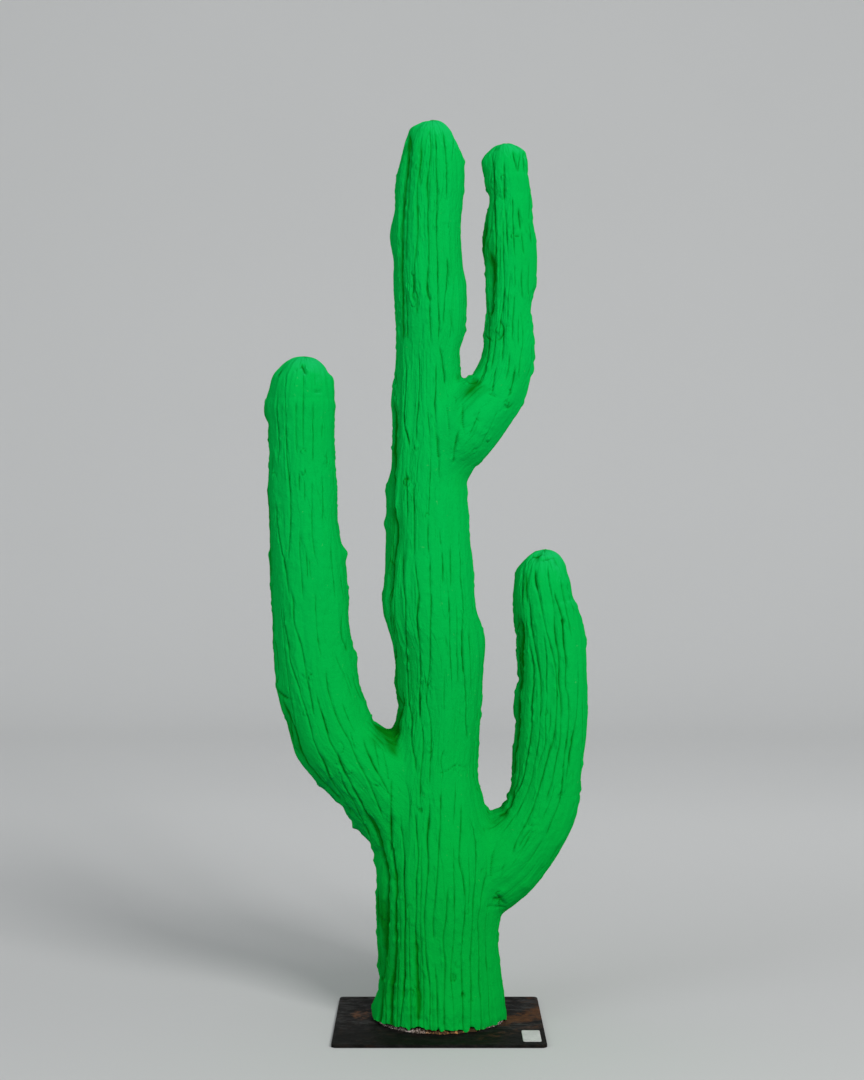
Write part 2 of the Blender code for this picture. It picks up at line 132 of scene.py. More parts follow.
# Grooves drawn on the front elevation, each a kind and its points on the sheet
GROOVES = {"trunk": (
    # foot
    (CUT, (392, 775), (391, 800), (391, 840), (393, 860), (396, 880), (395.5, 900), (395, 920),
        (396, 940), (394, 960), (393, 980), (390, 1000), (391, 1020), (392, 1044)),
    (DITCH, (391, 812), (391, 840), (393, 860), (396, 884)),
    (VALLEY, (394, 868), (396, 890), (395, 920), (396, 945), (394, 965), (392, 985), (390, 1004),
        (391, 1020)),
    (SOFT, (403, 862), (404, 890), (405, 920), (404, 950), (404, 980), (402, 1004)),
    (VALLEY, (416, 930), (416, 955), (417, 980), (419, 1002), (418, 1018)),
    (CUT, (395, 968), (393, 982), (390, 1002), (390, 1016)),
    (SHADE, (363, 809), (377, 834), (384, 860), (387, 880), (386, 905), (386, 930), (384, 960),
        (381, 985), (379, 1036)),
    (CUT, (384, 856), (387, 880), (386, 900), (386, 920), (385, 940), (384, 962)),
    (SHADE, (402, 688), (401, 704), (398, 722), (396, 744)),
    (CUT, (392, 612), (393, 632), (395, 656), (396, 680), (400, 705), (402, 722)),
    (CUT, (378, 872), (378, 905), (379, 935), (379, 965), (381, 985)),
    (CUT, (384, 944), (384, 975), (383, 1000)),
    (LINE, (400, 812), (402, 840), (404, 860), (403, 880), (405, 900), (405, 920), (404, 940),
        (404, 960), (404, 980), (403, 1000), (400, 1020), (399, 1042)),
    (LINE, (403, 850), (404, 866), (403, 880)),
    (LINE, (404, 966), (404, 984), (403, 1004)),
    (LINE, (414, 806), (417, 840), (418, 860), (416, 880), (416, 900), (415, 940), (416, 960),
        (417, 985), (418, 1046)),
    (LINE, (412, 984), (418, 992), (421, 1002)),
    (LINE, (429, 796), (429, 820), (427, 840), (428, 860), (427, 880), (425, 900), (424, 920),
        (425, 940), (426, 960), (429, 982), (429, 1046)),
    (CUT, (429, 812), (427, 838), (428, 856)),
    (LINE, (441, 788), (440, 830), (438, 860), (437, 880), (435, 900), (433, 920), (434, 945)),
    (LINE, (434, 958), (436, 980), (437, 1000), (438, 1046)),
    (LINE, (449, 882), (447, 900), (446, 920), (443, 940), (445, 962), (444, 1000), (445, 1044)),
    (LINE, (461, 798), (461, 820), (460, 840), (459, 860), (463, 880), (465, 902), (464, 920),
        (462, 940), (461, 960), (462, 980), (463, 1002), (464, 1046)),
    (LINE, (468, 812), (475, 836), (476, 860), (475, 880), (473, 900), (472, 920), (471, 945),
        (470, 965), (471, 985), (470, 1044)),
    (LINE, (484, 846), (484, 880), (481, 900), (478, 920), (479, 945), (479, 980), (481, 1002),
        (480, 1042)),
    (HAIR, (489, 895), (486, 925), (486, 945), (487, 965), (489, 985), (490, 1036)),
    (LINE, (486, 938), (487, 958), (488, 974)),
    (LINE, (500, 896), (498, 920), (495, 940), (498, 966)),
    (HAIR, (409, 900), (409, 955), (410, 985), (411, 1044)),
    (HAIR, (421, 840), (421, 880), (420, 930), (423, 980), (423, 1044)),
    (HAIR, (453, 840), (454, 880), (454, 930), (451, 980), (454, 1010), (454, 1044)),
    (HAIR, (468, 850), (469, 880), (468, 912)),
    (HAIR, (399, 900), (400, 940), (398, 980), (396, 1036)),
    (HAIR, (385, 985), (386, 1040)),
    (HAIR, (432, 985), (433, 1044)),
    (HAIR, (500, 975), (502, 1024)),
    # nicks on the head
    (CUT, (412, 272), (413, 286), (412, 296), (416, 305)),
    (CUT, (427, 280), (427, 292), (431, 303)),
    # waist
    (CUT, (402, 550), (403, 580), (405, 600), (405, 640), (406, 662), (407, 682), (408, 700),
        (411, 720), (411, 742), (415, 762), (416, 776)),
    (LINE, (414, 556), (417, 580), (419, 600), (417, 620), (419, 640), (420, 662), (420, 682),
        (419, 702), (420, 724)),
    (LINE, (419, 590), (417, 620), (419, 648)),
    (LINE, (420, 690), (419, 706), (420, 720)),
    (LINE, (420, 716), (423, 740), (422, 760), (420, 780), (420, 802)),
    (LINE, (430, 554), (430, 580), (431, 600), (430, 640), (430, 660), (428, 680), (426, 700),
        (430, 720), (431, 742), (430, 768), (429, 790)),
    (HAIR, (424, 674), (427, 686), (432, 677)),
    (LINE, (442, 548), (443, 566), (443, 588)),
    (LINE, (451, 543), (451, 566), (451, 592)),
    (HAIR, (448, 592), (450, 620), (450, 642), (452, 684)),
    (HAIR, (445, 664), (444, 690), (444, 718)),
    (LINE, (460, 548), (461, 580), (463, 600), (462, 640), (463, 660), (465, 680), (466, 704),
        (466, 724), (469, 746)),
    (CUT, (462, 644), (463, 662), (464, 676)),
    (HAIR, (432, 774), (444, 772), (450, 769), (457, 765), (464, 767), (471, 764)),
    (HAIR, (447, 744), (441, 760), (443, 776), (440, 786)),
    (HAIR, (382, 747), (387, 768), (389, 787)),
    (HAIR, (374, 740), (378, 760), (380, 775)),
    (LINE, (388, 554), (393, 580), (390, 602), (389, 620), (392, 640), (395, 660), (395, 684)),
    (HAIR, (395, 588), (394, 620), (399, 645), (402, 668)),
    (HAIR, (457, 600), (457, 640), (458, 690)),
    (LINE, (472, 566), (473, 600), (475, 626)),
    (LINE, (481, 690), (477, 720), (475, 742), (475, 780), (481, 802)),
    (HAIR, (469, 620), (470, 660), (472, 700)),
    (HAIR, (456, 775), (455, 800), (453, 830)),
    (LINE, (400, 748), (401, 768)),
    (LINE, (406, 776), (410, 800), (408, 824)),
    (CUT, (390, 738), (395, 750), (400, 764)),
    # chest
    (LINE, (405, 354), (406, 380), (405, 402), (404, 420), (408, 440), (409, 449)),
    (LINE, (404, 426), (408, 440), (409, 447)),
    (LINE, (418, 348), (419, 380), (418, 402), (416, 424), (416, 447)),
    (LINE, (436, 360), (436, 380), (435, 400), (435, 420), (437, 440), (438, 460), (439, 484)),
    (LINE, (437, 436), (438, 456), (439, 474)),
    (HAIR, (427, 408), (430, 440), (430, 482), (429, 502), (428, 520)),
    (LINE, (428, 518), (428, 545), (430, 562)),
    (CUT, (439, 345), (443, 360), (445, 374)),
    (LINE, (443, 362), (445, 376), (445.5, 386)),
    (HAIR, (447, 400), (448, 420), (449, 436)),
    (LINE, (460, 348), (459, 362), (461, 378)),
    (CUT, (459, 428), (456, 441), (453, 462)),
    (HAIR, (449, 390), (453, 396), (456, 399), (454, 405)),
    (SHADE, (393, 470), (392, 500), (395, 530), (391, 570), (389, 600)),
    (VALLEY, (396, 400), (395, 440), (393, 476)),
    (LINE, (397, 352), (396, 400), (394, 440), (393, 474)),
    (LINE, (406, 470), (407, 500), (407, 526)),
    (LINE, (413, 484), (414, 512), (414, 558)),
    (LINE, (440, 528), (441, 548)),
    (HAIR, (459, 530), (459, 548)),
    (CUT, (467, 511), (467, 520), (467, 532)),
    (LINE, (469, 534), (470, 560)),
    (HAIR, (462, 400), (463, 425), (466, 440)),
    # head
    (VALLEY, (409, 130), (406, 170), (402, 210), (401, 260), (402, 320), (402, 345)),
    (SOFT, (408, 130), (410, 145), (411, 162), (409, 180), (408, 198), (407, 220), (406, 246),
        (406, 264)),
    (LINE, (405, 288), (406, 320), (406, 346)),
    (HAIR, (396, 172), (394, 200), (393, 240), (395, 262), (395, 300), (397, 322), (397, 352)),
    (SOFT, (421, 136), (421, 160), (418, 180), (417, 200), (418, 220), (417, 242), (415, 262),
        (414, 282), (417, 300), (415, 322)),
    (LINE, (429, 128), (431, 150), (428, 174)),
    (SOFT, (430, 164), (427, 182), (428, 200), (428, 220), (429, 242), (429, 262), (427, 282),
        (430, 304)),
    (LINE, (429, 298), (430, 322), (431, 344)),
    (LINE, (434, 128), (436, 145), (436, 162), (437, 182), (437, 240), (438, 262), (438, 300),
        (439, 322), (438, 346)),
    (LINE, (441, 126), (444, 140), (446, 160), (447, 190), (447, 206)),
    (LINE, (448, 252), (448, 280), (445, 300), (444, 330)),
    (HAIR, (455, 132), (451, 165)),
    (HAIR, (450, 306), (452, 326), (450, 342)),
    (LINE, (462, 156), (462, 180), (460, 220), (459, 242), (461, 262), (463, 282)),
    (LINE, (464, 300), (464, 326)),
), "left_arm": (
    (DITCH, (374, 715), (388, 721), (399, 716)),
    (LINE, (385, 737), (392, 746), (399, 752)),
    (HAIR, (286, 372), (286, 390)),
    (HAIR, (285, 384), (286, 420), (286, 442)),
    (LINE, (286, 430), (287, 460), (289, 482), (290, 515), (289, 542), (288, 562)),
    (LINE, (278, 392), (277, 404), (278, 422), (279, 444), (278, 466)),
    (LINE, (276, 498), (277, 520), (280, 542), (284, 562), (287, 582), (290, 598)),
    (LINE, (290, 586), (293, 602), (294, 622), (300, 642), (304, 662), (307, 680), (311, 702),
        (315, 722)),
    (LINE, (270, 468), (269, 500), (270, 525), (271, 550)),
    (CUT, (271, 545), (271, 575), (272, 600), (273, 625), (276, 650), (279, 676)),
    (CUT, (269, 418), (269, 440), (270, 462)),
    (LINE, (284, 604), (284, 620), (288, 642), (290, 660), (297, 682), (303, 702), (309, 722),
        (314, 742), (323, 762), (332, 782), (346, 804), (352, 820)),
    (CUT, (321, 754), (327, 770), (333, 784)),
    (HAIR, (280, 600), (284, 640), (288, 680), (294, 716), (298, 742), (308, 762)),
    (LINE, (315, 690), (318, 702), (324, 721), (330, 742), (341, 762)),
    (CUT, (320, 708), (324, 722), (328, 736)),
    (LINE, (326, 664), (327, 682), (331, 700), (339, 722), (350, 742), (357, 760), (368, 781),
        (376, 800), (384, 822)),
    (LINE, (336, 750), (341, 764), (350, 782), (360, 802), (369, 821), (378, 842), (385, 866)),
    (CUT, (337, 754), (341, 766), (347, 778)),
    (CUT, (354, 790), (361, 803), (370, 823), (377, 838)),
    (LINE, (340, 772), (343, 784), (352, 800), (361, 820), (372, 840)),
    (LINE, (362, 734), (365, 744), (372, 762), (383, 782), (392, 800)),
    (LINE, (369, 752), (373, 764), (379, 776)),
    (LINE, (315, 768), (330, 788), (346, 806), (362, 824), (374, 846)),
    (HAIR, (303, 364), (303.5, 384), (303, 420), (303, 454)),
    (CUT, (301, 364), (304, 370), (306, 375)),
    (HAIR, (296, 396), (296, 420), (297, 456)),
    (HAIR, (313, 396), (313, 440), (313, 470)),
    (HAIR, (315, 374), (315, 388)),
    (LINE, (299, 472), (299, 494)),
    (HAIR, (304, 478), (305, 505)),
    (HAIR, (312, 474), (312, 500), (313, 542), (317, 566)),
    (LINE, (322, 472), (323, 500), (323, 524)),
    (HAIR, (322, 420), (322, 440)),
    (HAIR, (299, 530), (300, 560), (302, 582), (303, 604)),
    (HAIR, (306, 548), (308, 582)),
    (HAIR, (309, 556), (311, 582)),
    (HAIR, (315, 590), (318, 640), (322, 662)),
    (HAIR, (331, 540), (332, 562), (334, 582), (336, 604)),
    (HAIR, (341, 572), (344, 604)),
    (HAIR, (327, 450), (327, 470)),
    (CUT, (343, 612), (342, 630), (344, 642), (349, 650)),
    (HAIR, (334, 650), (339, 664), (347, 682), (353, 702)),
    (LINE, (352, 672), (357, 690), (363, 702), (371, 720)),
    (HAIR, (347, 674), (353, 690)),
    (HAIR, (372, 783), (376, 786), (380, 786)),
    (SHADE, (284, 700), (292, 728), (300, 752), (318, 779), (344, 805)),
    (CUT, (279, 672), (280, 690), (287, 698), (294, 700)),
    (LINE, (287, 712), (292, 738), (302, 760)),
    (HAIR, (350, 730), (356, 752)),
    (HAIR, (341, 700), (349, 720), (358, 738)),
    (LINE, (273, 620), (273, 645), (276, 672)),
    (HAIR, (272, 500), (272, 540), (272, 580)),
    (HAIR, (333, 400), (334, 450), (335, 500)),
), "right_arm": (
    # wrinkles at the tip, then down the arm
    (LINE, (527, 568), (530, 560), (538, 556), (548, 555)),
    (HAIR, (536, 562), (546, 560), (556, 557)),
    (CUT, (523, 564), (522, 585), (522, 606)),
    (LINE, (526, 572), (526, 590), (527, 604)),
    (CUT, (535, 567), (535, 580), (540, 600), (544, 622)),
    (CUT, (535, 568), (535, 580), (538, 592)),
    (LINE, (542, 612), (544, 622), (549, 642), (554, 660), (557, 682), (557, 702), (556, 722),
        (553, 742), (548, 758)),
    (CUT, (575, 728), (571, 750), (570, 772)),
    (LINE, (548, 558), (549, 580), (553, 600), (555, 616)),
    (CUT, (554, 608), (556, 640), (559, 660), (559, 682), (561, 702), (561, 724)),
    (LINE, (561, 716), (560, 742), (556, 762), (552, 782), (545, 804)),
    (CUT, (553, 586), (557, 600), (563, 620), (564, 640), (566, 660), (566, 682), (567, 696)),
    (LINE, (563, 616), (564, 640), (565, 652)),
    (LINE, (566, 684), (569, 702), (569, 722), (567, 742), (564, 762), (563, 782), (560, 802),
        (552, 822), (545, 842)),
    (LINE, (560, 574), (565, 598), (569, 620), (573, 642)),
    (LINE, (567, 574), (572, 598), (577, 618)),
    (LINE, (579, 662), (579, 682), (578, 702), (576, 722), (573, 742), (569, 764), (566, 786)),
    (LINE, (583, 690), (583, 722), (582, 760), (579, 790)),
    (CUT, (529, 596), (530, 620), (533, 642), (537, 662), (540, 682), (540, 706)),
    (LINE, (540, 700), (540, 722)),
    (HAIR, (540, 718), (538, 742), (534, 762), (530, 782), (522, 802), (513, 822)),
    (CUT, (528, 642), (532, 660), (533, 682), (531, 702), (531, 722), (529, 742), (526, 762),
        (521, 784), (511, 801)),
    (SHADE, (520, 615), (521, 645), (521, 675), (519, 700), (518, 725), (517, 745), (514, 765),
        (512, 780)),
    (DITCH, (517, 612), (517, 632), (517, 652), (519, 676), (517, 694)),
    (DITCH, (519, 700), (519, 722), (518, 738)),
    (SHADE, (514, 790), (506, 808), (497, 816)),
    (LINE, (520, 752), (518, 778), (511, 798)),
    (LINE, (543, 630), (546, 660), (546, 682), (547, 702)),
    (HAIR, (547, 696), (545, 722), (545, 744), (539, 762), (536, 778)),
    (CUT, (552, 740), (547, 760), (543, 772)),
    (LINE, (547, 760), (541, 781), (535, 801), (527, 821), (516, 842), (511, 860)),
    (HAIR, (550, 706), (550, 724), (547, 738)),
    (HAIR, (556, 782), (550, 802), (540, 824)),
    (LINE, (485, 907), (496, 906), (507, 908)),
    (CUT, (496, 892), (501, 900), (506, 905)),
    (LINE, (490, 897), (498, 899), (505, 897)),
    (LINE, (517, 850), (524, 838), (533, 828)),
    (HAIR, (533, 830), (522, 850), (508, 872)),
    (HAIR, (546, 835), (532, 858), (516, 878)),
    (HAIR, (563, 838), (552, 858), (534, 880)),
    (LINE, (497, 840), (492, 862), (491, 884)),
    (HAIR, (505, 860), (500, 884)),
    (LINE, (572, 812), (576, 800), (579, 788)),
    (HAIR, (526, 615), (527, 650)),
    (HAIR, (500, 834), (514, 816), (526, 796)),
    (HAIR, (582, 640), (584, 665)),
), "upper_arm": (
    (CUT, (491, 151), (494, 176), (494, 200), (495, 222), (496, 246), (495, 262)),
    (DITCH, (486, 184), (487, 210), (486, 232), (484, 252)),
    (CUT, (532, 182), (532, 196)),
    (SHADE, (490, 250), (492, 272), (491, 296), (489, 320)),
    (LINE, (495, 254), (495, 284), (492, 302), (491, 320)),
    (DITCH, (487, 298), (488, 318), (489, 336)),
    (CUT, (504, 158), (504, 180), (504, 206)),
    (LINE, (504, 198), (506, 220), (507, 242), (509, 262)),
    (LINE, (502, 216), (503, 240), (503, 262), (504, 282), (503, 302), (500, 322), (499, 334)),
    (LINE, (512, 192), (513, 220), (514, 242), (515, 262)),
    (LINE, (513, 235), (518, 236), (521, 234)),
    (HAIR, (511, 266), (508, 300), (507, 328)),
    (HAIR, (515, 262), (515, 290)),
    (LINE, (515, 290), (513, 320), (512, 346)),
    (LINE, (512, 148), (515, 160), (518, 173)),
    (LINE, (521, 151), (519, 163), (518, 174)),
    (CUT, (524, 151), (524, 162), (526, 176)),
    (CUT, (519, 206), (520, 220), (521, 232)),
    (LINE, (521, 230), (523, 242), (524, 256)),
    (LINE, (522, 266), (522, 284), (523, 302)),
    (LINE, (529, 176), (531, 200), (530, 222), (533, 246)),
    (HAIR, (530, 256), (529, 290), (530, 306)),
    (LINE, (503, 330), (503, 344), (501, 366)),
    (LINE, (489, 326), (489, 344), (486, 366), (480, 386)),
    (LINE, (496, 330), (494, 348), (490, 372)),
    (LINE, (496, 366), (493, 384), (492, 398)),
    (LINE, (509, 350), (509, 366), (505, 384)),
    (CUT, (516, 364), (513, 382), (508, 398)),
    (LINE, (488, 357), (484, 369), (478, 386)),
    (LINE, (487, 393), (498, 397)),
    (LINE, (486, 318), (485, 330), (488, 338), (494, 342)),
    (CUT, (499, 320), (503, 328), (501, 337), (495, 341)),
    (HAIR, (504, 326), (513, 327)),
    (LINE, (503, 402), (508, 408), (514, 404)),
    (HAIR, (472, 412), (481, 424)),
    (LINE, (463, 379), (470, 383), (478, 380)),
    (LINE, (487, 190), (487, 222), (486, 246)),
    (LINE, (487, 296), (486, 322), (485, 342)),
    (HAIR, (523, 320), (523, 344), (520, 362), (519, 384)),
    (LINE, (532, 340), (532, 362), (527, 382)),
    (HAIR, (482, 404), (474, 425), (467, 440)),
    (HAIR, (500, 405), (490, 428), (478, 452)),
    (HAIR, (500, 240), (499, 290)),
    (HAIR, (519, 310), (518, 350)),
)}

# Lumps and dents on the sheet: middle, half sizes, and height above or below the limb, in mm
LUMPS = {"trunk": (
    # outline, from the tip down the left side
    (411, 129, 6, 4, 3.6), (443, 122, 5, 4, 1.8), (399, 158, 7, 20, -2.8), (393, 207, 7, 15, -2.2),
    (391, 235, 7, 10, 1.8), (393, 262, 7, 10, -1.2), (395, 330, 7, 30, -0.9),
    (394, 400, 7, 22, 4.0), (391, 466, 7, 13, -2.0), (388, 490, 6, 9, 2.0), (390, 512, 6, 4, -3.0),
    (387, 524, 7, 6, 2.8), (386, 545, 6, 12, 0.6), (383, 580, 8, 18, -2.6), (384, 607, 8, 8, 0.6),
    (387, 636, 9, 20, -4.0), (397, 682, 7, 13, 2.6), (399, 706, 6, 7, -2.8), (368, 843, 6, 7, -4.0),
    (374, 860, 8, 7, 5.0), (376, 887, 8, 15, -1.4), (379, 950, 9, 26, 1.6), (378, 968, 5, 5, 2.2),
    (375, 996, 8, 8, -2.8), (373, 1012, 10, 8, 0.6), (383, 899, 3, 3, 1.4), (381, 918, 3, 4, -1.6),
    (381, 936, 3, 3, 1.5), (381, 982, 3, 4, -1.6),
    # outline, down the right side
    (455, 138, 7, 10, -2.2), (463, 161, 3, 3, 1.6), (465, 285, 9, 13, 1.7), (468, 329, 3, 2.5, 1.6),
    (462, 350, 8, 10, -3.0), (470, 474, 7, 8, 2.2), (472, 570, 9, 20, 2.4), (482, 636, 10, 16, 3.6),
    (484, 672, 8, 12, -1.4), (480, 722, 11, 60, 1.8), (478, 755, 8, 14, 1.0), (483, 797, 6, 7, 0.9),
    (489, 811, 5, 4, 1.6), (498, 926, 8, 7, 2.2), (500, 965, 10, 28, 1.6), (505, 1010, 10, 8, -0.6),
    # front
    (420, 811, 1.6, 2, -2.4), (453, 977, 2, 5, -1.6), (429, 750, 2.5, 2.5, 1.4),
    (463, 995, 1.5, 2, -1.8), (450, 500, 16, 26, 0.8), (440, 640, 8, 90, 0.9),
    (394, 744, 7, 14, -3.4), (395, 500, 4, 14, 1.2), (478, 905, 6, 6, 1.2), (466, 790, 8, 14, 0.8),
    (454, 450, 2, 2, 1.2), (416, 446, 2, 2, 1.3), (469, 520, 4, 10, 1.6), (424, 128, 8, 3, 1.0),
    (418, 167, 2, 2, 1.0), (413, 304, 2, 2, 1.0), (406, 481, 2.5, 2.5, 1.4), (448, 930, 4, 8, 0.9),
    (440, 1000, 8, 14, 0.8), (404, 1005, 5, 10, 0.8),
), "left_arm": (
    # outline
    (265, 408, 8, 14, 5.0), (268, 434, 8, 14, 2.6), (268, 425, 5, 4, -1.4), (268, 491, 8, 15, 3.2),
    (272, 465, 4, 6, -1.6), (334, 440, 7, 45, -1.8), (339, 524, 8, 24, -5.6), (345, 553, 8, 6, 3.8),
    (348, 624, 7, 14, -2.4), (355, 658, 6, 8, 2.8), (347, 648, 3, 5, -2.2), (364, 690, 7, 16, -1.4),
    (280, 692, 8, 20, 2.2), (287, 722, 8, 11, -2.2), (294, 752, 8, 9, 2.2), (318, 784, 10, 10, 2.8),
    (284, 364, 9, 7, -2.0), (330, 378, 6, 8, 1.2), (272, 575, 8, 22, 1.4), (376, 719, 8, 7, -3.4),
    (374, 722, 5, 5, -2.2), (391, 727, 5, 4, 1.6), (340, 809, 7, 6, -2.2), (355, 826, 7, 6, 3.6),
    (369, 843, 6, 6, -4.6), (279, 372, 3, 3, -2.8), (330, 372, 3, 3, -1.8),
    # front
    (391, 735, 8, 12, -3.0), (378, 727, 6, 6, -1.8), (318, 392, 5, 1.6, -1.8),
    (303, 366, 4, 2, -1.4), (311, 372, 5, 5, 1.0), (290, 366, 6, 4, 0.9), (338.7, 748, 5, 6, 1.2),
    (292, 742, 6, 8, -1.4), (285, 712, 5, 7, 1.6), (303, 765, 8, 6, 1.4), (351, 812, 4, 4, -2.0),
    (350, 770, 3, 4, 1.3), (312, 678, 3, 2, 1.2), (310, 436, 3, 3, 0.7), (324, 460, 4, 4, 0.8),
    (273, 475, 2, 4, 1.2), (305, 713, 2, 2, 1.0), (302, 452, 2, 2, 1.0), (303, 471, 2, 2, 1.0),
), "right_arm": (
    # outline
    (518, 571, 7, 8, 2.2), (575, 592, 9, 20, -2.8), (569, 572, 7, 8, -1.6), (584, 637, 8, 16, 1.9),
    (517, 645, 7, 34, 1.2), (516, 706, 6, 12, 3.4), (514, 742, 8, 34, 1.6), (513, 757, 7, 17, 3.8),
    (505, 801, 7, 8, -3.2), (501, 808, 6, 5, -3.6), (584, 772, 9, 36, -3.6), (583, 764, 3, 4, 1.8),
    (587, 650, 3, 3, -1.4), (556, 553, 7, 5, 1.6), (579, 803, 3, 3, 1.4), (519, 680, 3, 3, -1.6),
    (516, 692, 3, 3, 1.4), (516, 722, 2.5, 3, -1.6),
    # front
    (563, 622, 1.6, 2, -1.6), (484, 875, 3, 4, 1.6), (546, 556, 6, 4, 1.2),
    (537, 558, 2.5, 5, -2.0), (556, 562, 2, 5, -1.6), (502, 893, 5, 5, 1.8), (494, 900, 3, 3, -2.0),
    (561, 840, 6, 7, 1.4), (540, 872, 6, 7, -1.2), (527, 886, 6, 5, 1.4),
), "upper_arm": (
    # outline
    (484, 161, 7, 9, 4.2), (486, 200, 7, 10, -1.6), (484, 240, 7, 20, 1.4), (486, 292, 7, 18, 1.0),
    (484, 337, 7, 13, 1.8), (532, 176, 7, 10, -3.6), (532, 190, 3, 3, 1.4), (534, 215, 6, 18, 1.0),
    (536, 270, 7, 18, 0.6), (534, 306, 7, 14, -3.8), (534, 350, 7, 16, 2.0), (524, 151, 6, 5, 2.4),
    (495, 149, 4, 3, -2.2), (517, 147, 4, 3, -2.0), (470, 474, 7, 8, 2.2), (464, 372, 6, 5, 2.0),
    (475, 380, 6, 5, -1.6), (534, 291, 2.5, 2.5, -1.6),
    # front
    (503, 178, 2, 2, 1.1), (502, 195, 2, 2, 1.1), (513, 236, 2, 2, 1.2), (506, 404, 2.5, 2.5, 1.4),
    (489, 439, 2, 2, 0.9), (475, 452, 2, 2, 0.9), (497, 330, 8, 2, 0.8),
)}

# Where the paint is rough: middle and half sizes on the sheet
ROUGH_PLACES = {
    "trunk": (
        (414, 296, 12, 16), (450, 330, 9, 24), (408, 482, 12, 12), (392, 540, 10, 60),
        (424, 692, 9, 22), (398, 722, 10, 18), (384, 930, 10, 50), (412, 995, 12, 22),
        (460, 968, 12, 30), (447, 912, 8, 16), (488, 890, 12, 20), (440, 1022, 60, 8),
        (446, 226, 8, 12), (412, 448, 12, 8), (397, 410, 7, 60), (424, 790, 12, 20),
        (455, 770, 20, 8),
    ),
    "left_arm": (
        (327, 455, 10, 14), (300, 458, 10, 12), (276, 480, 7, 40), (344, 640, 8, 14),
        (308, 680, 10, 12), (348, 768, 12, 12), (376, 740, 14, 12), (292, 735, 10, 30),
        (330, 795, 16, 12), (325, 515, 6, 12),
    ),
    "right_arm": (
        (530, 566, 10, 14), (518, 700, 7, 60), (496, 898, 14, 12), (565, 620, 7, 12),
        (550, 735, 12, 26), (562, 790, 8, 20), (526, 824, 14, 16), (572, 745, 7, 24),
    ),
    "upper_arm": (
        (503, 345, 14, 26), (500, 395, 14, 10), (505, 200, 8, 20), (488, 165, 7, 14),
        (487, 440, 14, 14), (507, 285, 8, 16), (530, 300, 6, 60),
    ),
}

# Patches of painted shade in the crotches, along the shaded left edges and sides, and in two small
# chips: middle, half sizes on the sheet, and how much
SHADE_PATCHES = {
    "trunk": (
        (394, 738, 9, 20, 1.0), (396, 250, 5, 80, 0.20), (407, 146, 5, 16, 0.30),
        (395, 440, 5, 60, 0.25), (391, 535, 6, 46, 0.45), (410, 462, 9, 34, 0.18),
        (384, 925, 7, 55, 0.50), (380, 985, 8, 22, 0.40), (393, 985, 12, 34, 0.35),
        (389, 600, 5, 40, 0.35), (398, 705, 5, 24, 0.35), (418, 1000, 8, 30, 0.20),
        (397, 742, 7, 18, 0.95), (466, 389, 10, 11, 0.85), (378, 908, 8, 18, 0.80),
        (380, 955, 9, 16, 0.55), (392, 655, 7, 50, 0.60), (391, 470, 7, 70, 0.35),
        (437, 372, 4, 20, 0.15), (468, 380, 12, 7, 0.70), (497, 935, 3, 10, 0.60),
        (490, 824, 14, 11, 0.30),
    ),
    "left_arm": (
        (391, 732, 11, 18, 1.0), (390, 737, 9, 14, 0.80), (393, 749, 8, 13, 0.90),
        (284, 700, 5, 14, 0.35), (288, 728, 5, 18, 0.35), (273, 650, 9, 50, 0.55),
        (271, 560, 8, 60, 0.45), (270, 500, 8, 40, 0.45), (267, 425, 8, 26, 0.40),
        (279, 373, 3, 3, 0.90), (329, 372, 2.5, 3, 0.50), (374, 718, 10, 5, 0.40),
        (377, 738, 12, 8, 0.55),
    ),
    "right_arm": (
        (520, 690, 5, 66, 0.60), (525, 588, 5, 24, 0.40), (513, 786, 5, 16, 0.45),
        (503, 812, 12, 6, 0.50), (494, 822, 14, 11, 0.30), (496, 902, 10, 7, 0.30),
    ),
    "upper_arm": (
        (492, 265, 6, 26, 0.70), (489, 345, 8, 30, 0.50), (488, 172, 5, 16, 0.30),
        (492, 210, 5, 40, 0.30), (484, 246, 8, 26, 0.55), (475, 382, 9, 7, 0.70),
        (472, 391, 9, 11, 0.85), (500, 328, 6, 10, 0.25), (512, 406, 6, 5, 0.30),
    ),
}

# Small curls, drawn as rings broken on one side: middle, radius in mm, and where the gap is in turns
CURLS = {
    "trunk": (
        (418, 167, 2.6, 0.1), (413, 304, 2.4, 0.7), (429, 750, 2.6, 0.5), (454, 451, 2.6, 0.2),
        (416, 447, 2.4, 0.8), (406, 482, 2.8, 0.1), (453, 978, 3.0, 0.6), (463, 996, 2.2, 0.4),
        (466, 911, 2.6, 0.6), (484, 872, 3.4, 0.2), (447, 226, 2.4, 0.4), (413, 273, 2.2, 0.9),
        (420, 811, 2.2, 0.3), (446, 165, 2.0, 0.5), (449, 395, 2.6, 0.7), (427, 516, 2.2, 0.2),
        (411, 993, 3.0, 0.3), (458, 965, 2.6, 0.9), (409, 907, 2.0, 0.1), (471, 1003, 2.4, 0.2),
    ),
    "left_arm": (
        (303, 452, 2.4, 0.2), (303, 472, 2.4, 0.6), (311, 678, 2.8, 0.2), (349, 771, 3.0, 0.7),
        (338.7, 748, 5.0, 0.4), (305, 713, 2.4, 0.1), (325, 460, 3.0, 0.5), (274, 476, 2.4, 0.3),
    ),
    "right_arm": (
        (563, 622, 1.8, 0.3), (484, 875, 3.0, 0.5), (499, 896, 3.4, 0.1), (545, 712, 2.2, 0.6),
        (561, 797, 2.4, 0.2), (530, 823, 2.2, 0.8),
    ),
    "upper_arm": (
        (503, 178, 2.4, 0.2), (502, 196, 2.4, 0.6), (513, 236, 2.2, 0.1), (506, 404, 2.8, 0.4),
        (489, 440, 2.2, 0.7), (475, 452, 2.4, 0.3), (498, 330, 2.6, 0.9), (509, 392, 2.2, 0.5),
    ),
}

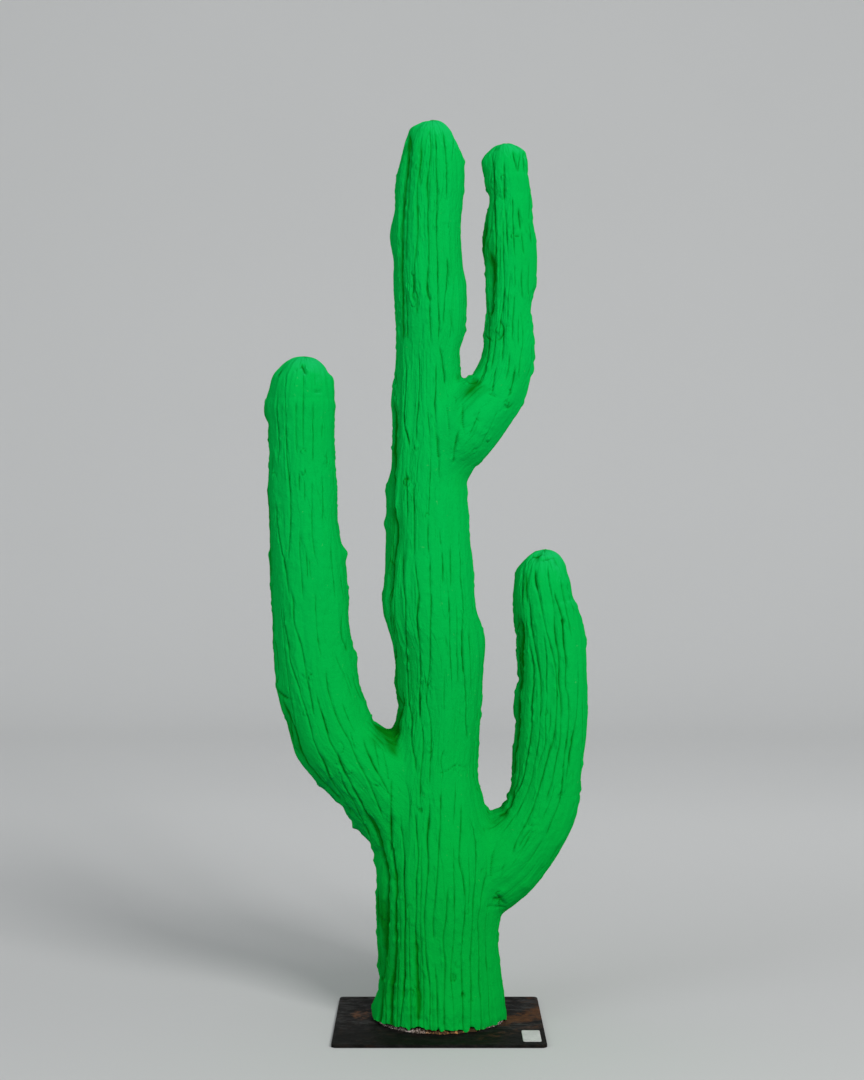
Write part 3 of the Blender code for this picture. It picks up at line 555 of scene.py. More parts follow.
# The painted hem's runs and gaps: turn from the right, half width in turn, and rise in hem drops
HEM_BELLS = ((-2.70, 0.46, -4.6), (-1.10, 0.70, 0.6), (-2.03, 0.17, -1.5), (-0.95, 0.14, -1.9))
HEM_FLOOR = 3.2 * MM


def sheet_to_metres(points):
    """Sheet millimetres to metres in the plane of the trunk's axis, right and up from x = 0, z = 0."""
    points = np.asarray(points, dtype=float)
    return np.stack(
        ((points[:, 0] - SHEET_CENTRE[0]) * MM, (SHEET_CENTRE[1] - points[:, 1]) * MM), axis=1
    )


def eased(value):
    """A ramp from 0 to 1 that starts and ends level: 3 v v - 2 v v v on the clipped value."""
    value = np.clip(value, 0.0, 1.0)
    return value * value * (3.0 - 2.0 * value)


def wrapped(angle):
    """The same angle between minus half a turn and half a turn."""
    return (angle + math.pi) % TURN - math.pi


def bell(turn, middle, width):
    """1 at one turn round a limb, falling off as exp(-(d / width) squared) on either side."""
    return np.exp(-((wrapped(turn - middle) / width) ** 2))


def mound(along, turn, girth, path, bend, width, tall):
    """1 at one place of a limb, falling off as a bell: exp(-(across / width) squared - (along / tall)
    squared), across being measured round the limb, whose radius there is girth."""
    across = wrapped(turn - bend) * girth
    return np.exp(-(across / width) ** 2 - ((along - path) / tall) ** 2)


def smooth_through(rows, count):
    """A smooth curve through rows of numbers: cubic spans whose slopes are the mean of the chords
    on either side, each weighted by the other's length, sampled evenly in chord length."""
    rows = np.asarray(rows, dtype=float)
    chords = np.linalg.norm(np.diff(rows[:, :2], axis=0), axis=1)
    at = np.concatenate(((0.0,), np.cumsum(chords)))
    slope = np.diff(rows, axis=0) / chords[:, None]
    near = chords[:-1, None]
    far = chords[1:, None]
    inner = (slope[:-1] * far + slope[1:] * near) / (near + far)
    tangent = np.concatenate((slope[:1], inner, slope[-1:]))
    place = np.linspace(0.0, at[-1], count)
    span = np.clip(np.searchsorted(at, place, side="right") - 1, 0, len(chords) - 1)
    size = chords[span][:, None]
    t = (place - at[span])[:, None] / size
    curve = (2 * t**3 - 3 * t**2 + 1) * rows[span] + (t**3 - 2 * t**2 + t) * size * tangent[span]
    return curve + (-2 * t**3 + 3 * t**2) * rows[span + 1] + (t**3 - t**2) * size * tangent[span + 1]


def cloud(along, turn, step, cells, seed):
    """Smooth noise on a limb, from -1 to 1: random heights on a lattice that closes round the limb,
    ``step`` apart along it and ``cells`` round it, eased from each to the next."""
    lattice = np.random.default_rng(seed).uniform(-1.0, 1.0, (int(1.3 / step) + 3, cells))
    row = np.clip(along / step + 1.0, 0.0, len(lattice) - 2.001)
    column = (turn / TURN % 1.0) * cells
    low = row.astype(int)
    left = column.astype(int) % cells
    right = (left + 1) % cells
    up = eased(row - low)
    across = eased(column - np.floor(column))
    lower = lattice[low, left] * (1 - across) + lattice[low, right] * across
    upper = lattice[low + 1, left] * (1 - across) + lattice[low + 1, right] * across
    return lower * (1 - up) + upper * up


def nearest_on(line_s, line_x, s, x):
    """For points on a limb's flattened skin and a line of points on it: the squared distance to the
    line, how far along the line its nearest place is, from 0 to 1, and a number whose sign says on
    which side the point lies."""
    best = np.full(len(x), 1.0)
    where = np.zeros(len(x))
    side = np.zeros(len(x))
    for k in range(len(line_s) - 1):
        step_x = line_x[k + 1] - line_x[k]
        step_s = line_s[k + 1] - line_s[k]
        size = step_x**2 + step_s**2 + 1e-12
        t = np.clip(((x - line_x[k]) * step_x + (s - line_s[k]) * step_s) / size, 0, 1)
        gap = (x - line_x[k] - t * step_x) ** 2 + (s - line_s[k] - t * step_s) ** 2
        closer = gap < best
        best = np.where(closer, gap, best)
        where = np.where(closer, (k + t) / (len(line_s) - 1), where)
        side = np.where(closer, (x - line_x[k]) * step_s - (s - line_s[k]) * step_x, side)
    return best, where, side


class Limb:
    """A tapering tube along a path, closed by a dome.
    point(along, turn) = centre(along) + radius(along) (cos turn across + depth sin turn forward),
    where across is square to the path and forward is away from the viewer."""

    def __init__(self, stations, tip, dome, forward, flare, seed):
        """Stations of the path, its tip, the dome's fullness, offset away from the viewer at root and
        tip, depth over width (at the root, beyond it, and over what length), and the noise's seed."""
        rows = np.array(stations + ((tip[0], tip[1], 0.0),), dtype=float)
        curve = smooth_through(rows, PATH_SAMPLES)
        lengths = np.linalg.norm(np.diff(curve[:, :2], axis=0), axis=1)
        self.table = np.concatenate(((0.0,), np.cumsum(lengths)))
        self.length = self.table[-1]
        nearest = np.argmin(np.hypot(curve[:, 0] - rows[-2, 0], curve[:, 1] - rows[-2, 1]))
        self.shoulder = self.table[nearest]
        share = np.clip((self.table - self.shoulder) / (self.length - self.shoulder), 0.0, 1.0)
        self.radius = np.where(share > 0, rows[-2, 2] * (1 - share**2) ** dome, curve[:, 2])
        self.x = curve[:, 0]
        self.z = curve[:, 1]
        share = self.table / self.length
        self.y = AXIS_Y + forward[0] + (forward[1] - forward[0]) * eased(share)
        drop = np.clip(1 - self.table / flare[2], 0, 1) ** 2
        self.depth = flare[1] + (flare[0] - flare[1]) * drop
        window = 9
        kernel = np.ones(window) / window
        way = [np.pad(np.gradient(part), window // 2, "edge") for part in (self.x, self.z)]
        way = np.stack([np.convolve(part, kernel, "valid") for part in way], axis=1)
        self.way = way / np.linalg.norm(way, axis=1)[:, None]
        self.slope = np.gradient(self.radius, self.table)
        self.seed = seed
        self.joint = None
        self.strokes = []
        self.lumps = []
        self.coarse = []
        self.stains = []

    def at(self, along):
        """Centre, path direction, radius, depth over width and slope of the radius at lengths along."""
        columns = (self.x, self.y, self.z, *self.way.T, self.radius, self.depth, self.slope)
        x, y, z, way_x, way_z, *rest = (np.interp(along, self.table, column) for column in columns)
        size = np.hypot(way_x, way_z)
        return (x, y, z, way_x / size, way_z / size, *rest)

    def point(self, along, turn):
        """The bare surface's place at a length along and a turn round the limb."""
        x, y, z, way_x, way_z, radius, depth, _ = self.at(along)
        out = radius * np.cos(turn)
        return np.stack((x + out * way_z, y + radius * depth * np.sin(turn), z - out * way_x), axis=-1)

    def locate(self, place):
        """For points in space: length along, turn, how far outside the limb, and the outward
        direction, which is the gradient of that distance."""
        rough = np.empty(len(place), dtype=int)
        path_x = self.x[None, ::PATH_STRIDE]
        path_z = self.z[None, ::PATH_STRIDE]
        for low in range(0, len(place), CHUNK):
            part = place[low:low + CHUNK]
            gap = (part[:, 0:1] - path_x) ** 2 + (part[:, 2:3] - path_z) ** 2
            rough[low:low + CHUNK] = np.argmin(gap, axis=1) * PATH_STRIDE
        along = self.table[rough]
        for _ in range(2):
            x, y, z, way_x, way_z, radius, depth, slope = self.at(along)
            ahead = (place[:, 0] - x) * way_x + (place[:, 2] - z) * way_z
            along = np.clip(along + ahead, 0.0, self.length)
        x, y, z, way_x, way_z, radius, depth, slope = self.at(along)
        ahead = (place[:, 0] - x) * way_x + (place[:, 2] - z) * way_z
        behind = np.where(along <= 0.0, np.minimum(ahead, 0.0), 0.0)
        side = (place[:, 0] - x) * way_z - (place[:, 2] - z) * way_x
        deep = (place[:, 1] - y) / depth
        reach = np.sqrt(side**2 + deep**2 + behind**2) + 1e-9
        turn = np.arctan2(deep, side)
        lean = behind / reach - np.clip(slope, -4.0, 4.0)
        across = side / reach
        out = np.stack(
            (across * way_z + lean * way_x, deep / depth / reach, lean * way_z - across * way_x), axis=1
        )
        out /= np.linalg.norm(out, axis=1)[:, None]
        return along, turn, reach - radius, out

    def cast(self, points):
        """Where the eye's line of sight through points of the sheet meets the limb's front:
        length along and turn, found by stepping to the plane of the last hit."""
        aim = sheet_to_metres(points)
        target = np.stack((aim[:, 0], np.full(len(aim), AXIS_Y), aim[:, 1]), axis=1)
        reach = np.ones(len(aim))
        for _ in range(8):
            place = EYE + (target - EYE) * reach[:, None]
            along, turn, _, _ = self.locate(place)
            x, y, z, way_x, way_z, radius, depth, _ = self.at(along)
            side = ((place[:, 0] - x) * way_z - (place[:, 2] - z) * way_x) / radius
            side = np.clip(side, -0.985, 0.985)
            front = y - radius * depth * np.sqrt(1 - side**2)
            reach = (front - EYE[1]) / (AXIS_Y - EYE[1])
        return along, -np.arccos(side)

    def trace(self, points):
        """Length along and turn of a smooth line through points of the sheet."""
        return self.cast(smooth_through(points, max(4 * len(points), 8)))

    def spots(self, places):
        """Spots of the sheet on the limb: length along, turn, half sizes in metres, and the rest."""
        found = []
        for x, y, width, height, *rest in places:
            along, turn = self.cast(((x, y),))
            found.append((along[0], turn[0], width * MM, height * MM, *rest))
        return found

    def draw(self, grooves, lumps):
        """Adds grooves and lumps drawn on the sheet. A lump on the outline sits on it and is wider."""
        for kind, *points in grooves:
            self.strokes.append((kind, *self.trace(points)))
        for x, y, width, height, rise in lumps:
            along, turn = self.cast(((x, y),))
            bend = turn[0]
            if abs(math.cos(bend)) > 0.93:
                bend = round(bend / math.pi) * math.pi
                width = width * (1.5 if rise > 0 else 2.0)
            self.lumps.append((along[0], bend, width * MM, height * MM, rise * MM))

    def share(self, grooves, reach):
        """Adds the stretches of a neighbour's grooves that cross this limb's front within a length
        of its root, so that a groove runs on over the joint."""
        for kind, *points in grooves:
            along, turn = self.trace(points)
            on = np.nonzero((np.abs(np.cos(turn)) < 0.95) & (along > MM) & (along < reach))[0]
            if len(on) > 3:
                stretch = slice(on[0], on[-1] + 1)
                self.strokes.append((kind, along[stretch], turn[stretch]))

    def curl(self, curls):
        """Adds small curls: a fine groove round three quarters of a slightly flattened ring."""
        for x, y, radius, gap in curls:
            angle = TURN * (gap + np.linspace(0.12, 0.88, 9))
            ring = np.stack((x + radius * np.cos(angle), y + 1.25 * radius * np.sin(angle)), axis=1)
            self.strokes.append((HAIR, *self.cast(ring)))

    def grow(self, first, last, spacing, share, start, end):
        """Adds wandering grooves between two turns: evenly spaced starts, each cut into lengths,
        with a slow sideways drift so that neighbours part and meet."""
        chance = np.random.default_rng(self.seed)
        middle = 0.5 * (start + end)
        width = np.interp(middle, self.table, self.radius)
        count = max(3, int(abs(last - first) * width / spacing))
        for number in range(count):
            turn = first + (last - first) * (number + 0.5) / count
            along = start + chance.uniform(-0.03, 0.02)
            while along < end:
                size = chance.uniform(0.05, 0.19)
                stop = min(along + size, end)
                if stop - along > 0.015 and chance.uniform() < share:
                    steps = max(4, int((stop - along) / 0.012))
                    reach = np.linspace(along, stop, steps)
                    drift = cloud(reach, np.full(steps, turn), 0.045, 11, self.seed + 5) * 0.0032
                    drift += cloud(reach, np.full(steps, turn), 0.017, 23, self.seed + 6) * 0.0012
                    drift += chance.uniform(-0.0015, 0.0015)
                    kind = GROWN_KINDS[chance.integers(0, len(GROWN_KINDS))]
                    self.strokes.append((kind, reach, turn + drift / width))
                along = stop + chance.uniform(-0.006, 0.016)
        for _ in range(count * 2):
            turn = chance.uniform(first, last)
            along = chance.uniform(start, end)
            rise = chance.choice((-1.4, 1.2, 1.6)) * MM
            width = chance.uniform(2, 5) * MM
            height = chance.uniform(2, 8) * MM
            self.lumps.append((along, turn, width, height, rise))

    def noise(self, along, turn, step, size, number):
        """The limb's own smooth noise of this number: step along it and about size round it, in m."""
        cells = int(self.radius.max() * TURN / size)
        return cloud(along, turn, step, cells, self.seed + number)

    def grooves(self, along, turn, girth):
        """What the grooves do: the share of the deepest depth that they cut, how dark the painted shade
        along them is, how high their lips stand, and how near a shoulder is.
        The cut is one minus the product over grooves of (1 - share (0.66 exp(-(sqrt(d d + c c) - c)
        / w) + 0.34 exp(-(d / shoulder) squared))), d being the distance from the groove's line, w
        its width and c its roundness. Every other groove has its lip on the other side."""
        left = np.ones_like(along)
        # clean is the share left unshaded by the painted shade along the grooves
        clean = np.ones_like(along)
        lips = np.zeros_like(along)
        shoulder = np.zeros_like(along)
        ragged = 0.22 * self.noise(along, turn, 0.0080, 0.0065, 15)
        ragged += 0.15 * self.noise(along, turn, 0.0034, 0.0032, 16)
        for number, (kind, path, bend) in enumerate(self.strokes):
            deep, width, round_off = (value * MM for value in kind)
            margin = 4.5 * width + 6 * MM
            middle = 0.5 * (bend.min() + bend.max())
            reach = 0.5 * (bend.max() - bend.min()) * girth + margin
            aside = wrapped(turn - middle) * girth + ragged * MM
            near = (along > path.min() - margin) & (along < path.max() + margin)
            inside = np.nonzero(near & (np.abs(aside) < reach))[0]
            if not len(inside):
                continue
            line_x = (bend - middle) * np.interp(path, self.table, self.radius)
            best, where, side = nearest_on(path, line_x, along[inside], aside[inside])
            length = np.sum(np.hypot(np.diff(path), np.diff(line_x)))
            ends = np.minimum(where + (path[0] < 12 * MM), 1 - where + (path[-1] < 12 * MM))
            fade = eased(ends * length / min(16 * MM, 0.32 * length) + 0.12)
            waver = 1.0 + 0.22 * np.sin(where * length / (7 * MM) + 37.0 * middle)
            waver += 0.12 * np.sin(where * length / (2.3 * MM) + 11.0 * number)
            away = np.sqrt(best)
            spread = (np.sqrt(best + round_off**2) - round_off) / (width * (0.8 + 0.2 * waver))
            shape = 0.66 * np.exp(-spread) + 0.34 * np.exp(-((away / (1.15 * width + 0.7 * MM)) ** 2))
            left[inside] *= 1 - np.clip(deep / FLOOR_DEPTH * waver, 0, 0.96) * fade * shape
            # Painted shade along each groove's line, darkest at its middle
            dark = 0.84 * np.exp(-((away / (0.38 * MM + 0.36 * width)) ** 2))
            dark += 0.16 * np.exp(-away / (2 * width))
            clean[inside] *= 1 - np.clip(0.28 + deep / (7.0 * MM) * waver, 0, 0.9) * fade * dark
            rim = fade * np.exp(-(((away - width - 1.3 * MM) / (1.2 * MM)) ** 2))
            rim *= min(1.0, deep / (2 * MM))
            shoulder[inside] = np.maximum(shoulder[inside], rim)
            proud = np.exp(-away / (3.2 * MM)) * np.clip(away / MM, 0, 1) * fade
            one_side = side * (-1) ** number > 0
            lips[inside] += np.where(one_side, proud, 0.0) * min(0.12 * deep, 0.40 * MM)
        return 1 - left, 1 - clean, np.clip(lips, 0, 0.9 * MM), shoulder

    def relief(self, along, turn, depth, swell):
        """Height of the worked surface over the bare one, and its painted shade: grooves with crumbs
        along their shoulders, lumps, soft noise, creases where noise crosses nought, and grain that
        is strong where the paint is rough. Painted shade is laid in the grooves, creases, small dents
        and pits, and the patches of painted shade count with it."""
        girth = np.interp(along, self.table, self.radius)
        cut, hollow, lips, shoulder = self.grooves(along, turn, girth)
        height = -FLOOR_DEPTH * cut * depth + lips * depth
        for path, bend, width, tall, rise in self.lumps:
            near = np.abs(wrapped(turn - bend) * girth) < 3 * width
            near = near & (np.abs(along - path) < 3 * tall)
            bump = mound(along[near], turn[near], girth[near], path, bend, width, tall)
            height[near] += rise * bump
            # Small dents are given painted shade
            small_dent = np.clip(-rise / (6 * MM), 0, 1) * np.clip(1.6 - width / (5 * MM), 0, 1)
            hollow[near] += small_dent * bump
        # Painted shade: the patches darken the colour in the crotches and along the shaded edges
        unshaded = np.ones_like(along)
        for *spot, amount in self.stains:
            unshaded *= 1 - amount * mound(along, turn, girth, *spot)
        top = 0.45 + 0.55 * eased((self.length - along) / (0.5 * girth.max()))
        height *= top
        broad = self.noise(along, turn, 0.095, 0.022, 1)
        ridged = self.noise(along, turn, 0.085, 0.0085, 2)
        bent = turn + 0.0016 / girth.max() * self.noise(along, turn, 0.013, 0.012, 10)
        brushed = self.noise(along, bent, 0.034, 0.0034, 7)
        height += MM * swell * (0.9 * broad + 0.60 * ridged + 0.24 * brushed) * top
        crease = np.exp(-((self.noise(along, bent, 0.070, 0.0080, 12) / 0.055) ** 2))
        crease *= eased(0.5 + 1.2 * self.noise(along, turn, 0.045, 0.016, 13))
        fine = brushed + 0.25 * self.noise(along, turn, 0.012, 0.005, 14)
        fine = np.exp(-(fine / 0.10) ** 2)
        height -= MM * depth * (0.50 * crease + 0.26 * fine) * top
        # Painted shade in the creases and fine lines, then in the patches of painted shade
        hollow += 0.18 * crease + 0.12 * fine
        hollow += (1 - unshaded) * (0.72 + 0.30 * ridged + 0.25 * brushed)
        patch = eased(0.5 + 1.3 * self.noise(along, turn, 0.030, 0.022, 3))
        coarse = np.where(np.sin(turn) > 0, 0.7, 0.12)
        for spot in self.coarse:
            coarse = np.maximum(coarse, 1.1 * mound(along, turn, girth, *spot))
        patch *= coarse
        lumpy = self.noise(along, turn, 0.0062, 0.0046, 9)
        rough = self.noise(along, turn, 0.0034, 0.0028, 4)
        grit = self.noise(along, turn, 0.0019, 0.0016, 8)
        grainy = patch * (0.45 * lumpy + 0.55 * rough + 0.25 * grit)
        height += MM * (0.20 * lumpy + grainy + 0.06 * grit)
        height += MM * np.clip(2.4 * lumpy - 0.7, 0, 1) * (0.08 + shoulder)
        pits = np.clip(-rough * lumpy * 3 - 0.7, 0, 1) * (0.3 + 0.7 * patch)
        height -= 0.6 * MM * pits
        # Painted shade in the pits
        hollow += 0.22 * pits
        return height, np.clip(hollow, 0, 1)


def joint_softness(joint, height):
    """How far a joint is rounded at each height: from its lower to its upper amount."""
    low, high, start, end = joint
    return (low + (high - low) * eased((height - start) / (end - start))) * MM


def blended_step(own, other, place, joint):
    """Moves points onto the rounded union of two limbs: the smaller distance less h h k / 4, where
    h is one minus the gap between the two distances over k, and k is the softness at that height."""
    for _ in range(BLEND_STEPS):
        softness = joint_softness(joint, place[:, 2])
        _, _, first, out_first = own.locate(place)
        _, _, second, out_second = other.locate(place)
        h = np.clip(1 - np.abs(first - second) / softness, 0, 1)
        union = np.minimum(first, second) - h * h * softness / 4
        lean = np.clip(0.5 + 0.5 * (first - second) / softness, 0, 1)[:, None]
        slope = out_first * (1 - lean) + out_second * lean
        size = np.sum(slope * slope, axis=1)[:, None]
        place = place - union[:, None] * slope / np.maximum(size, 0.15)
    return place, slope / np.sqrt(np.sum(slope * slope, axis=1))[:, None]


def worked_surface(limb, others, lengths, columns, depth, swell, hem=None):
    """The limb's finished grid: its bare surface, moved onto the rounded unions with its
    neighbours, raised by the relief of both where they meet, and sunk inside a neighbour.
    Returns places, shading normals and marks, rows along the limb by columns round it. The marks
    are the painted shade of the grooves, creases, dents and shade patches, the painted shade on faces
    that look down and left, and the painted highlight on faces that look up near the limb's tip."""
    turn = np.linspace(0, TURN, columns, endpoint=False)
    along, turn = (grid.ravel() for grid in np.meshgrid(lengths, turn, indexing="ij"))
    bare = limb.point(along, turn)
    place = bare.copy()
    _, _, _, out = limb.locate(bare)
    height, hollow = limb.relief(along, turn, depth, swell)
    sink = np.zeros(len(along))
    for other in others:
        joint = other.joint or limb.joint
        _, _, gap, _ = other.locate(bare)
        zone = np.nonzero((gap < joint_softness(joint, bare[:, 2])) & (gap > -BURIED))[0]
        if not len(zone):
            continue
        moved, lean = blended_step(limb, other, bare[zone], joint)
        share = eased((gap[zone] + BURIED) / (6 * MM))[:, None]
        place[zone] += (moved - bare[zone]) * share
        out[zone] = out[zone] * (1 - share) + lean * share
        own_along, own_turn, own_gap, _ = limb.locate(place[zone])
        far_along, far_turn, far_gap, _ = other.locate(place[zone])
        own_height, own_hollow_shade = limb.relief(own_along, own_turn, depth, swell)
        far_height, far_hollow_shade = other.relief(far_along, far_turn, depth, swell)
        weight = eased(0.5 + (own_gap - far_gap) / (14 * MM))
        height[zone] = own_height * (1 - weight) + far_height * weight
        hollow[zone] = own_hollow_shade * (1 - weight) + far_hollow_shade * weight
        inside = np.clip(-gap, 0, BURIED)
        sink = np.maximum(sink, SINK * inside)
    out /= np.linalg.norm(out, axis=1)[:, None]
    surface = place + out * height[:, None]
    if hem is not None:
        surface = hem(surface, turn)
    grid = surface.reshape(len(lengths), columns, 3)
    round_way = np.roll(grid, -1, axis=1) - np.roll(grid, 1, axis=1)
    long_way = np.gradient(grid, axis=0)
    normal = np.cross(round_way, long_way)
    normal /= np.linalg.norm(normal, axis=2)[:, :, None] + 1e-12
    grid = grid - (out * sink[:, None]).reshape(grid.shape)
    hollow = np.clip(hollow, 0, 1).reshape(grid.shape[:2])
    right = normal[:, :, 0]
    up = normal[:, :, 2]
    near_tip = np.clip((lengths - limb.shoulder + 30 * MM) / (40 * MM), 0, 1)[:, None]
    # Painted shade on faces that look down and to the left
    under = np.clip(-2.6 * up - 1.0, 0, 1) * np.clip(0.55 - 1.2 * right, 0, 1)
    # Painted highlight on faces that look up near the tip
    crown = np.clip(1.6 * up - 0.40, 0, 1) * np.clip(0.65 + 0.8 * right, 0, 1) * near_tip
    return grid, normal, np.stack((hollow, under, crown), axis=2)


def closed_skin(name, grid, normal=None, marks=None, tip=None):
    """A closed mesh from rings (rows of a grid): four-sided faces between rings and a fan to a pole
    at each end, the last pole being the tip where one is given. Faces point outward when rings turn
    anticlockwise seen from the far end."""
    rows, columns = grid.shape[:2]
    first = grid[0].mean(axis=0)
    last = grid[-1].mean(axis=0) if tip is None else tip
    points = np.concatenate((grid.reshape(-1, 3), first[None], last[None]))
    index = np.arange(rows * columns).reshape(rows, columns)
    beside = np.roll(index, -1, axis=1)
    quads = np.stack((index[:-1], beside[:-1], beside[1:], index[1:]), axis=-1).reshape(-1, 4)
    low_pole = np.full(columns, rows * columns)
    bottom = np.stack((low_pole, beside[0], index[0]), axis=1)
    top = np.stack((low_pole + 1, index[-1], beside[-1]), axis=1)
    corners = np.concatenate((quads.ravel(), bottom.ravel(), top.ravel())).astype(np.int32)
    sides = np.concatenate((np.full(len(quads), 4), np.full(2 * columns, 3)))
    starts = np.concatenate(((0,), np.cumsum(sides)[:-1])).astype(np.int32)
    mesh = bpy.data.meshes.new(name)
    mesh.vertices.add(len(points))
    mesh.vertices.foreach_set("co", points.ravel())
    mesh.loops.add(len(corners))
    mesh.loops.foreach_set("vertex_index", corners)
    mesh.polygons.add(len(sides))
    mesh.polygons.foreach_set("loop_start", starts)
    mesh.polygons.foreach_set("use_smooth", np.ones(len(sides), dtype=bool))
    mesh.update(calc_edges=True)
    if marks is not None:
        for number, title in enumerate(("hollow", "under", "crown")):
            mark = marks[:, :, number]
            values = np.concatenate((mark.ravel(), (mark[0].mean(), mark[-1].mean())))
            mesh.attributes.new(title, "FLOAT", "POINT").data.foreach_set("value", values)
    mesh.validate()
    if normal is not None:
        ends_out = np.stack((first - grid[3].mean(axis=0), last - grid[-4].mean(axis=0)))
        ends_out /= np.linalg.norm(ends_out, axis=1)[:, None] + 1e-12
        mesh.normals_split_custom_set_from_vertices(np.concatenate((normal.reshape(-1, 3), ends_out)))
    piece = bpy.data.objects.new(name, mesh)
    bpy.context.scene.collection.objects.link(piece)
    return piece


def ring_slab(name, outline, rise, inset):
    """A slab whose outline is carried up a profile: ring i is the outline drawn in by inset i
    towards the middle along its own normals, at height rise i. ``outline`` is points by 2."""
    ahead = np.roll(outline, -1, axis=0) - np.roll(outline, 1, axis=0)
    inward = np.stack((-ahead[:, 1], ahead[:, 0]), axis=1)
    inward /= np.linalg.norm(inward, axis=1)[:, None]
    rings = outline[None] + inward[None] * np.asarray(inset)[:, None, None]
    height = np.broadcast_to(rise[:, None, None], (*rings.shape[:2], 1))
    return closed_skin(name, np.concatenate((rings, height), axis=2))


def rounded_rectangle(low, high, corner, per_corner, per_side):
    """Points round a box's plan with round corners, anticlockwise, evenly spaced on each part."""
    width = high[0] - low[0]
    depth = high[1] - low[1]
    points = []
    centres = (
        (width / 2 - corner, depth / 2 - corner, 0.0),
        (corner - width / 2, depth / 2 - corner, 0.25),
        (corner - width / 2, corner - depth / 2, 0.5),
        (width / 2 - corner, corner - depth / 2, 0.75),
    )
    for x, y, start in centres:
        turn = TURN * (start + 0.25 * np.arange(per_corner) / (per_corner - 1))
        points.append(np.stack((x + corner * np.cos(turn), y + corner * np.sin(turn)), axis=1))
    filled = []
    for number, arc in enumerate(points):
        after = points[(number + 1) % 4][0]
        share = (np.arange(1, per_side) / per_side)[:, None]
        filled.append(arc)
        filled.append(arc[-1] * (1 - share) + after * share)
    return np.concatenate(filled) + np.array(((low[0] + high[0]) / 2, (low[1] + high[1]) / 2))


class Value:
    """A material's number socket. Its sums and products, with numbers or each other, add Math nodes."""

    def __init__(self, recipe, socket):
        self.recipe = recipe
        self.socket = socket

    def _math(self, operation, *terms, clamp=False):
        settings = {"operation": operation, "use_clamp": clamp}
        node = self.recipe.add("ShaderNodeMath", settings, dict(enumerate(terms)))
        return Value(self.recipe, node.outputs[0])

    def __add__(self, other):
        return self._math("ADD", self, other)

    def __radd__(self, other):
        return self._math("ADD", other, self)

    def __sub__(self, other):
        return self._math("SUBTRACT", self, other)

    def __rsub__(self, other):
        return self._math("SUBTRACT", other, self)

    def __mul__(self, other):
        return self._math("MULTIPLY", self, other)

    def clipped(self):
        """The value held between 0 and 1."""
        return self._math("ADD", self, 0.0, clamp=True)

    def ramp(self, low, high):
        """0 below low, 1 above high, and level at both ends between."""
        settings = {"interpolation_type": "SMOOTHSTEP"}
        node = self.recipe.add("ShaderNodeMapRange", settings, {0: self, 1: low, 2: high})
        return Value(self.recipe, node.outputs[0])


class Recipe:
    """Builds the nodes of one material."""

    def __init__(self, name):
        self.material = bpy.data.materials.new(name)
        self.material.use_nodes = True
        self.tree = self.material.node_tree
        self.tree.nodes.clear()
        self.place = self.add("ShaderNodeTexCoord").outputs["Object"]

    def add(self, kind, settings=None, sockets=None):
        """A node of this kind: its settings first, then its sockets."""
        node = self.tree.nodes.new(kind)
        for name, value in (settings or {}).items():
            setattr(node, name, value)
        for name, value in (sockets or {}).items():
            socket = node.inputs[name]
            if isinstance(value, Value):
                value = value.socket
            if isinstance(value, bpy.types.NodeSocket):
                self.tree.links.new(value, socket)
            elif socket.type == "RGBA" and len(value) == 3:
                socket.default_value = (*value, 1.0)
            else:
                socket.default_value = value
        return node

    def stretched(self, scale):
        """Object coordinates, scaled."""
        return self.add("ShaderNodeMapping", None, {"Vector": self.place, "Scale": scale}).outputs[0]

    def noise(self, scale, detail=3.0, rough=0.55, vector=None, warp=0.0):
        """Fractal noise of this many waves a metre, from 0 to 1."""
        sockets = {
            "Vector": vector or self.place, "Scale": scale, "Detail": detail, "Roughness": rough,
            "Distortion": warp,
        }
        node = self.add("ShaderNodeTexNoise", {"noise_dimensions": "3D"}, sockets)
        return Value(self, node.outputs[0])

    def mark(self, name):
        """A number stored on the piece's points."""
        return Value(self, self.add("ShaderNodeAttribute", {"attribute_name": name}).outputs["Fac"])

    def axis(self, number):
        """One of the object coordinates, in metres: 0, 1 or 2."""
        node = self.add("ShaderNodeSeparateXYZ", None, {"Vector": self.place})
        return Value(self, node.outputs[number])

    def mix(self, first, second, share):
        """Two colours, mixed by a share. The colours' sockets are numbers 6 and 7 of a mix node."""
        sockets = {0: share, 6: first, 7: second}
        return self.add("ShaderNodeMix", {"data_type": "RGBA"}, sockets).outputs[2]

    def bump(self, height, distance, strength):
        """A normal from a height that is worth this distance in metres, at this strength."""
        sockets = {"Strength": strength, "Distance": distance, "Height": height}
        return self.add("ShaderNodeBump", None, sockets).outputs[0]

    def finish(self, **sockets):
        """The surface shader; socket names are given with underscores for spaces."""
        values = {name.replace("_", " "): value for name, value in sockets.items()}
        shader = self.add("ShaderNodeBsdfPrincipled", None, values)
        self.add("ShaderNodeOutputMaterial", None, {"Surface": shader.outputs[0]})
        return self.material


